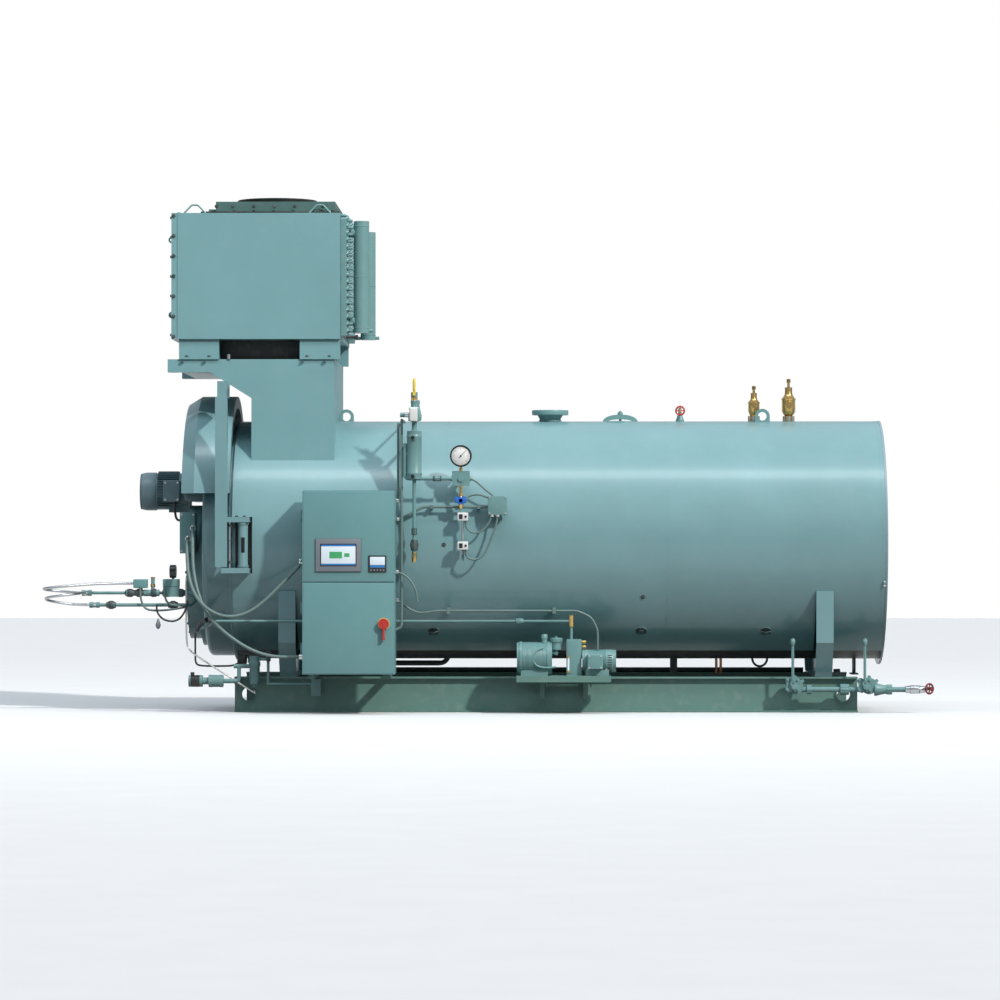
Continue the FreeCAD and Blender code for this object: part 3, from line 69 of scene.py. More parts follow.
@dataclass(frozen=True)
class Finish:
    """A procedural surface: two mottled shades, uneven gloss, fine bump and soft dust."""

    name: str
    shade: tuple[float, float, float]
    second: tuple[float, float, float]
    roughness: float = 0.4
    spread: float = 0.08
    metallic: float = 0.0
    coat: float = 0.0
    mottle: float = 1.6
    grain: float = 180.0
    bump: float = 0.05
    dust: float = 0.12
    emission: float = 0.0

    def material(self) -> bpy.types.Material:
        """Build the material once and hand out the same one afterwards.

        Returns:
            The material that carries this finish.
        """
        known = bpy.data.materials.get(self.name)
        if known:
            return known
        made = bpy.data.materials.new(self.name)
        made.use_nodes = True
        tree = made.node_tree
        shader = tree.nodes["Principled BSDF"]
        shader.inputs["Metallic"].default_value = self.metallic
        shader.inputs["Coat Weight"].default_value = self.coat
        shader.inputs["Coat Roughness"].default_value = 0.12
        place = tree.nodes.new("ShaderNodeTexCoord").outputs["Object"]
        colour = self._mottled(tree, place)
        tree.links.new(colour, shader.inputs["Base Color"])
        tree.links.new(self._gloss(tree, place), shader.inputs["Roughness"])
        tree.links.new(self._relief(tree, place), shader.inputs["Normal"])
        if self.emission:
            tree.links.new(colour, shader.inputs["Emission Color"])
            shader.inputs["Emission Strength"].default_value = self.emission
        return made

    def _noise(self, tree: bpy.types.NodeTree, place: bpy.types.NodeSocket, scale: float,
               detail: float = 3.0) -> bpy.types.NodeSocket:
        """A noise field over the object's own coordinates.

        Args:
            tree: the material's node tree.
            place: the coordinate socket.
            scale: how many features per metre.
            detail: octaves of the noise.

        Returns:
            The noise value's socket.
        """
        noise = tree.nodes.new("ShaderNodeTexNoise")
        noise.inputs["Scale"].default_value = scale
        noise.inputs["Detail"].default_value = detail
        tree.links.new(place, noise.inputs["Vector"])
        return noise.outputs["Fac"]

    def _mottled(self, tree: bpy.types.NodeTree, place: bpy.types.NodeSocket) -> bpy.types.NodeSocket:
        """The two shades in broad patches, with dust gathered in a finer pattern.

        Args:
            tree: the material's node tree.
            place: the coordinate socket.

        Returns:
            The colour socket.
        """
        ramp = tree.nodes.new("ShaderNodeValToRGB")
        ramp.color_ramp.elements[0].position = 0.35
        ramp.color_ramp.elements[0].color = (*self.shade, 1)
        ramp.color_ramp.elements[1].position = 0.68
        ramp.color_ramp.elements[1].color = (*self.second, 1)
        tree.links.new(self._noise(tree, place, self.mottle), ramp.inputs["Fac"])
        if not self.dust:
            return ramp.outputs["Color"]
        mask = tree.nodes.new("ShaderNodeMapRange")
        mask.inputs["From Min"].default_value = 0.52
        mask.inputs["From Max"].default_value = 0.75
        mask.inputs["To Max"].default_value = self.dust
        tree.links.new(self._noise(tree, place, 9.0, 8.0), mask.inputs["Value"])
        mix = tree.nodes.new("ShaderNodeMixRGB")
        mix.inputs["Color2"].default_value = (0.42, 0.42, 0.38, 1)
        tree.links.new(mask.outputs["Result"], mix.inputs["Fac"])
        tree.links.new(ramp.outputs["Color"], mix.inputs["Color1"])
        return mix.outputs["Color"]

    def _gloss(self, tree: bpy.types.NodeTree, place: bpy.types.NodeSocket) -> bpy.types.NodeSocket:
        """Roughness that wanders about its middle value.

        Args:
            tree: the material's node tree.
            place: the coordinate socket.

        Returns:
            The roughness socket.
        """
        span = tree.nodes.new("ShaderNodeMapRange")
        span.inputs["To Min"].default_value = max(self.roughness - self.spread, 0.02)
        span.inputs["To Max"].default_value = self.roughness + self.spread
        tree.links.new(self._noise(tree, place, 6.0, 6.0), span.inputs["Value"])
        return span.outputs["Result"]

    def _relief(self, tree: bpy.types.NodeTree, place: bpy.types.NodeSocket) -> bpy.types.NodeSocket:
        """Fine grain.

        Args:
            tree: the material's node tree.
            place: the coordinate socket.

        Returns:
            The normal socket.
        """
        bump = tree.nodes.new("ShaderNodeBump")
        bump.inputs["Strength"].default_value = self.bump
        bump.inputs["Distance"].default_value = 0.002
        tree.links.new(self._noise(tree, place, self.grain), bump.inputs["Height"])
        return bump.outputs["Normal"]


BOILER_PAINT = Finish("boiler_paint", (0.180, 0.330, 0.350), (0.194, 0.356, 0.378), 0.30, 0.05, coat=0.25,
                      grain=260, bump=0.03, dust=0.06)
ECONOMIZER_PAINT = Finish("economizer_paint", (0.180, 0.350, 0.370), (0.194, 0.378, 0.400), 0.38, 0.05,
                          coat=0.15, grain=220, bump=0.04, dust=0.06)
CABINET_PAINT = Finish("cabinet_paint", (0.140, 0.300, 0.310), (0.151, 0.324, 0.335), 0.36, 0.05,
                       coat=0.1, grain=500, bump=0.05, dust=0.04)
FRAME_PAINT = Finish("frame_paint", (0.120, 0.235, 0.205), (0.130, 0.252, 0.220), 0.45, 0.08, grain=120,
                     bump=0.10, dust=0.20)
FITTING_PAINT = Finish("fitting_paint", (0.150, 0.290, 0.290), (0.162, 0.313, 0.313), 0.36, 0.08,
                       grain=300, bump=0.12, dust=0.12)
MOTOR_PAINT = Finish("motor_paint", (0.115, 0.190, 0.215), (0.130, 0.210, 0.235), 0.40, 0.06, grain=260,
                     bump=0.10, dust=0.12)
# The hood's dark colour is partly its paint and partly painted shade, the shade under its top plate.
HOOD_PAINT_AND_SHADE = Finish("hood_paint_and_shade", (0.060, 0.130, 0.120), (0.070, 0.145, 0.134), 0.45, grain=220, bump=0.05,
                    dust=0.08)
# Lighter paint for the motor cowl and other parts; on the rear door's rim it is a painted highlight.
COWL_PAINT_AND_RIM_HIGHLIGHT = Finish("cowl_paint_and_rim_highlight", (0.230, 0.330, 0.370), (0.250, 0.350, 0.390), 0.38, grain=260, dust=0.05)
BLACK_STEEL = Finish("black_steel", (0.012, 0.012, 0.013), (0.022, 0.022, 0.023), 0.45, 0.10, grain=200,
                     bump=0.10, dust=0.10)
DARK_IRON = Finish("dark_iron", (0.030, 0.048, 0.048), (0.046, 0.066, 0.066), 0.48, 0.10, grain=240,
                   bump=0.25, dust=0.18)
BARE_STEEL = Finish("bare_steel", (0.42, 0.43, 0.44), (0.50, 0.51, 0.52), 0.30, 0.10, 1.0, grain=400,
                    bump=0.06, dust=0.06)
ZINC = Finish("zinc_plate", (0.50, 0.51, 0.50), (0.60, 0.60, 0.58), 0.34, 0.10, 0.9, grain=90, bump=0.06,
              dust=0.05)
BRASS = Finish("brass", (0.52, 0.33, 0.11), (0.62, 0.42, 0.17), 0.30, 0.08, 1.0, grain=160, bump=0.06,
               dust=0.05)
COPPER = Finish("copper", (0.36, 0.15, 0.07), (0.45, 0.20, 0.10), 0.35, 0.08, 1.0, dust=0.05)
CONDUIT = Finish("conduit_sleeve", (0.130, 0.200, 0.190), (0.140, 0.216, 0.205), 0.42, 0.06, grain=300,
                 bump=0.05, dust=0.10)
BRAID = Finish("braided_hose", (0.50, 0.51, 0.52), (0.36, 0.37, 0.38), 0.32, 0.10, 1.0, mottle=240,
               grain=700, bump=0.6, dust=0.0)
RED_HANDLE = Finish("red_handle", (0.45, 0.020, 0.018), (0.52, 0.030, 0.024), 0.32, coat=0.3, dust=0.03)
DULL_RED = Finish("dull_red", (0.17, 0.022, 0.020), (0.22, 0.032, 0.028), 0.45, grain=200, bump=0.12)
YELLOW = Finish("yellow_sleeve", (0.80, 0.56, 0.03), (0.84, 0.62, 0.05), 0.40, dust=0.03)
BLUE = Finish("blue_handle", (0.02, 0.12, 0.52), (0.03, 0.15, 0.58), 0.38, dust=0.02)
WHITE_CASE = Finish("white_case", (0.72, 0.73, 0.71), (0.78, 0.79, 0.77), 0.38, dust=0.05)
BLACK_CASE = Finish("black_case", (0.010, 0.010, 0.011), (0.018, 0.018, 0.019), 0.30, dust=0.03)
GREY_BEZEL = Finish("grey_bezel", (0.19, 0.21, 0.24), (0.21, 0.23, 0.26), 0.38, grain=400, bump=0.05,
        dust=0.02)
# Glowing screen finish; on the oil tank's sight glass it is a painted highlight.
SCREEN_LIT_AND_GLASS_GLOW = Finish("screen_lit_and_glass_glow", (0.62, 0.70, 0.76), (0.68, 0.76, 0.82), 0.2, dust=0.0, emission=0.25)
SCREEN_BLUE = Finish("screen_blue", (0.03, 0.16, 0.42), (0.04, 0.19, 0.48), 0.2, dust=0.0, emission=0.25)
DIAL_WHITE = Finish("dial_white", (0.80, 0.80, 0.78), (0.84, 0.84, 0.82), 0.35, dust=0.0)
SCREEN_GREEN = Finish("screen_green", (0.05, 0.32, 0.12), (0.06, 0.36, 0.14), 0.2, dust=0.0, emission=0.25)
GASKET = Finish("gasket", (0.02, 0.02, 0.02), (0.03, 0.03, 0.03), 0.7, dust=0.1)


# ---- surfaces ------------------------------------------------------------------------------


def grid_faces(rows: int, columns: int, wrap: bool) -> Array:
    """Quads between neighbouring rows and columns of a grid.

    Args:
        rows: points along the first parameter.
        columns: points along the second parameter.
        wrap: whether the last column meets the first.

    Returns:
        An array of quads, four vertex numbers each.
    """
    row, column = np.meshgrid(np.arange(rows - 1), np.arange(columns if wrap else columns - 1), indexing="ij")
    following = (column + 1) % columns
    quads = np.stack([row * columns + column, row * columns + following,
                      (row + 1) * columns + following, (row + 1) * columns + column], axis=-1)
    return quads.reshape(-1, 4)


@dataclass
class Surface:
    """Vertices and quads that grow as shapes are added, and become one mesh."""

    vertices: list[Array] = field(default_factory=list)
    quads: list[Array] = field(default_factory=list)
    count: int = 0

    def add(self, points: Array, quads: Array) -> "Surface":
        """Append a patch of vertices and its quads."""
        self.vertices.append(points.reshape(-1, 3))
        self.quads.append(quads + self.count)
        self.count += len(self.vertices[-1])
        return self

    def turned(self, profile: list[tuple[float, float]], origin: tuple[float, float, float],
               axis: Axis = Axis.Z, steps: int = 48, direction: Vector | None = None) -> "Surface":
        """A surface of revolution.

        Each point is origin + axis * height + (cos t * side + sin t * up) * radius, for every
        (height, radius) of the profile and every angle t.

        Args:
            profile: (height, radius) pairs from one end to the other.
            origin: where height 0 lies.
            axis: the row axis to spin about.
            steps: points around the turn.
            direction: a free direction in place of the axis.

        Returns:
            This surface.
        """
        line = np.array(direction.normalized() if direction else np.eye(3)[axis.value])
        helper = np.array([0.0, 0.0, 1.0]) if abs(line[2]) < 0.9 else np.array([1.0, 0.0, 0.0])
        side = np.cross(helper, line)
        side /= np.linalg.norm(side)
        up = np.cross(line, side)
        height, radius = np.array(profile, dtype=float).T
        angle = np.linspace(0, 2 * np.pi, steps, endpoint=False)
        ring = np.cos(angle)[:, None] * side + np.sin(angle)[:, None] * up
        points = np.array(origin) + height[:, None, None] * line + radius[:, None, None] * ring
        return self.add(points, grid_faces(len(profile), steps, True))

    def block(self, low: Array, high: Array, round_by: float = 0.004, steps: int = 3) -> "Surface":
        """A block with rounded edges and corners.

        A sphere of the rounding radius is split at each axis plane and its eight parts move out
        to the corners: point = centre + sign(n) * core + radius * n, over two angles of n.

        Args:
            low: the lowest corner.
            high: the highest corner.
            round_by: the rounding radius.
            steps: points across each quarter turn.

        Returns:
            This surface.
        """
        low, high = np.array(low, dtype=float), np.array(high, dtype=float)
        half = (high - low) / 2
        radius = min(round_by, half.min() * 0.98)
        quarter = np.linspace(1e-4, np.pi / 2 - 1e-4, steps + 1)
        around = np.concatenate([quarter + k * np.pi / 2 for k in range(4)])
        tilt = np.concatenate([quarter - np.pi / 2, quarter])
        lift, turn = np.meshgrid(tilt, around, indexing="ij")
        normal = np.stack([np.cos(lift) * np.cos(turn), np.cos(lift) * np.sin(turn), np.sin(lift)], axis=-1)
        points = (low + high) / 2 + np.sign(normal) * (half - radius) + normal * radius
        self.add(points, grid_faces(len(tilt), len(around), True))
        for row in (0, len(tilt) - 1):
            corners = points[row, [0, steps + 1, 2 * steps + 2, 3 * steps + 3]]
            order = [3, 2, 1, 0] if row == 0 else [0, 1, 2, 3]
            self.add(corners, np.array([order]))
        return self

    def tube(self, path: Array, radius: float | Array, steps: int = 16) -> "Surface":
        """A round section carried along a path.

        Frames turn with the path as little as they can; each ring is path + r * (cos, sin) in
        the plane square to the path.

        Args:
            path: points along the middle.
            radius: one radius, or one for each point.
            steps: points around the section.

        Returns:
            This surface.
        """
        path = np.asarray(path, dtype=float)
        tangent = np.gradient(path, axis=0)
        tangent /= np.linalg.norm(tangent, axis=1)[:, None]
        reference = np.array([0.0, 0.0, 1.0]) if abs(tangent[0, 2]) < 0.9 else np.array([0.0, 1.0, 0.0])
        sides = np.empty_like(path)
        for index, line in enumerate(tangent):
            reference = reference - line * reference.dot(line)
            reference /= np.linalg.norm(reference)
            sides[index] = reference
        ups = np.cross(tangent, sides)
        angle = np.linspace(0, 2 * np.pi, steps, endpoint=False)
        ring = (np.cos(angle)[None, :, None] * sides[:, None, :] + np.sin(angle)[None, :, None] * ups[:,
                None, :])
        size = np.broadcast_to(np.asarray(radius, dtype=float), len(path))
        points = path[:, None, :] + ring * size[:, None, None]
        return self.add(points, grid_faces(len(path), steps, True))

    def bolts(self, centres: Array, direction: tuple[float, float, float], size: float) -> "Surface":
        """Hexagon heads on washers, one at each centre.

        A six-sided profile is turned once, then copied to all centres by adding each centre to
        the same vertices.

        Args:
            centres: one point for each head, on the surface it sits on.
            direction: the way the heads stand out.
            size: the radius across the corners.

        Returns:
            This surface.
        """
        head = Surface()
        out = Vector(direction)
        head.turned([(0, 0.0005), (0, size * 1.25), (size * 0.18, size * 1.25), (size * 0.18, size * 0.9)],
                    (0, 0, 0), steps=12, direction=out)
        head.turned([(size * 0.15, size), (size * 0.80, size), (size * 0.95, size * 0.82), (size * 0.95,
                0.0004)],
                    (0, 0, 0), steps=6, direction=out)
        points, quads = np.concatenate(head.vertices), np.concatenate(head.quads)
        centres = np.asarray(centres, dtype=float).reshape(-1, 3)
        copies = centres[:, None, :] + points[None, :, :]
        numbers = quads[None] + (np.arange(len(centres)) * len(points))[:, None, None]
        return self.add(copies, numbers.reshape(-1, 4))

    def build(self, name: str, finish: Finish, body: str = "boiler", smooth: float = 40) -> bpy.types.Object:
        """Make the mesh object, dress it and let it ride on its body.

        Args:
            name: the piece's name.
            finish: its surface.
            body: the body it moves with.
            smooth: edges flatter than this many degrees are shaded smooth.

        Returns:
            The new object.
        """
        points = np.concatenate(self.vertices)
        quads = np.concatenate(self.quads)
        mesh = bpy.data.meshes.new(name)
        mesh.vertices.add(len(points))
        mesh.vertices.foreach_set("co", points.astype(np.float32).ravel())
        mesh.loops.add(quads.size)
        mesh.loops.foreach_set("vertex_index", quads.astype(np.int32).ravel())
        mesh.polygons.add(len(quads))
        mesh.polygons.foreach_set("loop_start", np.arange(0, quads.size, 4, dtype=np.int32))
        mesh.polygons.foreach_set("loop_total", np.full(len(quads), 4, dtype=np.int32))
        mesh.update(calc_edges=True)
        mesh.validate()
        made = bpy.data.objects.new(name, mesh)
        bpy.context.scene.collection.objects.link(made)
        mesh.materials.append(finish.material())
        mesh.shade_smooth()
        mesh.set_sharp_from_angle(angle=math.radians(smooth))
        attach(made, body)
        LOG.info("%s: %d faces", name, len(quads))
        return made


def span(node: str) -> tuple[Array, Array]:
    """The lowest and highest corner of a CAD node, as arrays."""
    low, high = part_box(node)
    return np.array(low), np.array(high)


def spread(start: Array, end: Array, count: int) -> Array:
    """Evenly spaced points from start to end: start + (end - start) * t."""
    return np.asarray(start) + (np.asarray(end) - np.asarray(start)) * np.linspace(0, 1, count)[:, None]


def eased(points: list[tuple[float, float, float]], rounds: int = 4) -> Array:
    """A path through corners made smooth by cutting them.

    Each round puts points at a quarter and three quarters of every side, and keeps both ends.

    Args:
        points: the corners, in order.
        rounds: how many times to cut.

    Returns:
        The smooth path.
    """
    path = np.array(points, dtype=float)
    for _ in range(rounds):
        near, far = path[:-1] * 0.75 + path[1:] * 0.25, path[:-1] * 0.25 + path[1:] * 0.75
        path = np.concatenate([path[:1], np.stack([near, far], axis=1).reshape(-1, 3), path[-1:]])
    return path


def circle(centre: tuple[float, float, float], radius: float, count: int, axis: Axis,
        start: float = 0.0) -> Array:
    """Points evenly round a circle: centre + radius * (cos t, sin t) in the plane square to the axis.

    Args:
        centre: the circle's middle.
        radius: its radius.
        count: how many points.
        axis: the row axis square to its plane.
        start: the first point's angle, in degrees.

    Returns:
        The points, one row each.
    """
    angle = np.radians(start) + np.arange(count) * 2 * np.pi / count
    first, second = [k for k in range(3) if k != axis.value]
    points = np.tile(np.asarray(centre, dtype=float), (count, 1))
    points[:, first] += radius * np.cos(angle)
    points[:, second] += radius * np.sin(angle)
    return points


def dress(names: str, finish: Finish, bevel: float = 0.0) -> None:
    """Give CAD nodes a finish, and soften their hard edges where a bevel is stated.

    Args:
        names: node names, separated by spaces.
        finish: the surface they take.
        bevel: the width of the softened edge, in metres.
    """
    for name in names.split():
        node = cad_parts[name]
        node.data.materials.clear()
        node.data.materials.append(finish.material())
        if bevel:
            soft = node.modifiers.new("soft_edges", "BEVEL")
            soft.width = bevel
            soft.segments = 2
            soft.limit_method = "ANGLE"
            soft.angle_limit = math.radians(50)
            soft.harden_normals = False


# ---- cords ---------------------------------------------------------------------------------


UPPER_DOOR = "upper_door"
LOWER_DOOR = "lower_door"
HANDLE = "disconnect_handle"
COLUMN_LEVER = "column_valve_lever"
COCK = "gauge_cock_handle"
VENT = "vent_handwheel"
LEVER_FRONT = "blowdown_lever_front"
LEVER_REAR = "blowdown_lever_rear"


class Sleeve(Enum):
    """How a flexible run looks along its length."""

    RIBBED = "ribbed"
    BRAIDED = "braided"
    PLAIN = "plain"


@dataclass
class FlexibleRun:
    """A conduit or hose that hangs between two fittings, along a NURBS line of route points."""

    name: str
    points: list[tuple[float, float, float]]
    diameter: float
    sleeve: Sleeve = Sleeve.RIBBED

    def line(self) -> Array:
        """Read the smooth line of the route's NURBS spline.

        Returns:
            Points along the middle of the run.
        """
        curve = bpy.data.curves.new(self.name + "_line", "CURVE")
        curve.dimensions = "3D"
        curve.resolution_u = 24
        spline = curve.splines.new("NURBS")
        spline.points.add(len(self.points) - 1)
        spline.points.foreach_set("co", np.array([(*p, 1.0) for p in self.points]).ravel())
        spline.order_u = 3
        spline.use_endpoint_u = True
        holder = bpy.data.objects.new(self.name + "_line", curve)
        mesh = bpy.data.meshes.new_from_object(holder)
        points = np.array([v.co[:] for v in mesh.vertices])
        bpy.data.objects.remove(holder)
        bpy.data.curves.remove(curve)
        bpy.data.meshes.remove(mesh)
        return points

    def build(self) -> None:
        line = self.line()
        steps = np.concatenate([[0], np.cumsum(np.linalg.norm(np.diff(line, axis=0), axis=1))])
        length = float(steps[-1])
        pitch = self.diameter * (0.32 if self.sleeve is Sleeve.RIBBED else 0.8)
        count = int(length / pitch * 4)
        station = np.linspace(0, length, count)
        path = np.stack([np.interp(station, steps, line[:, k]) for k in range(3)], axis=1)
        radius = np.full(count, self.diameter / 2)
        if self.sleeve is Sleeve.RIBBED:
            radius *= 1 - 0.06 * (0.5 - 0.5 * np.cos(2 * np.pi * station / pitch))
        finish = BRAID if self.sleeve is Sleeve.BRAIDED else CONDUIT
        tube = Surface().tube(path, radius, 14).build(self.name + "_run", finish, smooth=80)
        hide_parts(self.name)


CORDS = (
    FlexibleRun("burner_conduit_upper", [
        (-3.690, -0.930, 1.790), (-3.690, -1.005, 1.778), (-3.688, -1.075, 1.745), (-3.684, -1.135, 1.690),
        (-3.678, -1.200, 1.590), (-3.664, -1.270, 1.460), (-3.630, -1.350, 1.320), (-3.560, -1.440, 1.180),
        (-3.450, -1.510, 1.070), (-3.310, -1.550, 1.000), (-3.150, -1.560, 0.990), (-2.990, -1.555, 1.050),
        (-2.850, -1.545, 1.160), (-2.720, -1.535, 1.290), (-2.590, -1.530, 1.420), (-2.465, -1.530, 1.555)], 0.036),
    FlexibleRun("burner_conduit_lower", [
        (-3.640, -0.930, 1.900), (-3.636, -1.005, 1.890), (-3.632, -1.075, 1.860), (-3.628, -1.130, 1.805),
        (-3.624, -1.175, 1.730), (-3.620, -1.220, 1.620), (-3.608, -1.280, 1.470), (-3.575, -1.345, 1.310),
        (-3.520, -1.410, 1.150), (-3.440, -1.470, 1.000), (-3.320, -1.520, 0.875), (-3.180, -1.550, 0.765),
        (-3.020, -1.560, 0.665), (-2.850, -1.555, 0.600), (-2.670, -1.540, 0.578), (-2.465, -1.530, 0.583)], 0.036),
    FlexibleRun("fuel_hose_supply", [
        (-4.254, -0.900, 1.327), (-4.365, -0.908, 1.327), (-4.475, -0.935, 1.326), (-4.585, -0.980, 1.324),
        (-4.695, -1.030, 1.319), (-4.805, -1.078, 1.311), (-4.915, -1.110, 1.301), (-5.021, -1.120, 1.291),
        (-5.101, -1.099, 1.283), (-5.160, -1.040, 1.275), (-5.181, -0.960, 1.267), (-5.160, -0.880, 1.259),
        (-5.101, -0.821, 1.251), (-5.021, -0.800, 1.243), (-4.941, -0.821, 1.237), (-4.875, -0.872, 1.231),
        (-4.795, -0.900, 1.228)], 0.028, Sleeve.BRAIDED),
    FlexibleRun("fuel_hose_return", [
        (-4.712, -0.900, 1.104), (-4.820, -0.900, 1.106), (-4.928, -0.914, 1.115), (-5.030, -0.958, 1.130),
        (-5.108, -1.032, 1.147), (-5.142, -1.130, 1.164), (-5.120, -1.230, 1.180), (-5.050, -1.306, 1.194),
        (-4.952, -1.328, 1.206), (-4.862, -1.288, 1.216), (-4.800, -1.206, 1.224), (-4.776, -1.104, 1.228),
        (-4.755, -0.960, 1.228)], 0.028, Sleeve.BRAIDED),
    FlexibleRun("cabinet_conduit_front", [
        (-1.528, -1.480, 1.450), (-1.479, -1.480, 1.437), (-1.430, -1.480, 1.410), (-1.386, -1.480, 1.370),
        (-1.351, -1.480, 1.321), (-1.326, -1.480, 1.266), (-1.312, -1.480, 1.209), (-1.307, -1.480, 1.150)], 0.022),
    FlexibleRun("cabinet_conduit_rear", [
        (-1.528, -1.345, 1.161), (-1.476, -1.345, 1.130), (-1.422, -1.345, 1.090), (-1.362, -1.345, 1.052),
        (-1.296, -1.345, 1.030), (-1.228, -1.345, 1.030), (-1.162, -1.345, 1.042)], 0.022),
    FlexibleRun("switch_conduit_upper", [
        (-0.820, -1.398, 1.972), (-0.818, -1.398, 1.928), (-0.800, -1.398, 1.888), (-0.768, -1.398, 1.858),
        (-0.726, -1.398, 1.846), (-0.684, -1.398, 1.850), (-0.642, -1.398, 1.872), (-0.606, -1.398, 1.908),
        (-0.578, -1.398, 1.950), (-0.560, -1.398, 1.992), (-0.550, -1.398, 2.031)], 0.022),
    FlexibleRun("switch_conduit_lower", [
        (-0.820, -1.398, 1.676), (-0.816, -1.398, 1.632), (-0.796, -1.398, 1.596), (-0.758, -1.398, 1.574),
        (-0.712, -1.398, 1.572), (-0.668, -1.398, 1.590), (-0.632, -1.398, 1.624), (-0.604, -1.398, 1.668),
        (-0.580, -1.398, 1.722), (-0.556, -1.398, 1.784), (-0.532, -1.398, 1.848), (-0.510, -1.398, 1.912),
        (-0.496, -1.398, 1.974), (-0.490, -1.398, 2.031)], 0.022),
)


# ---- sub-assemblies ------------------------------------------------------------------------


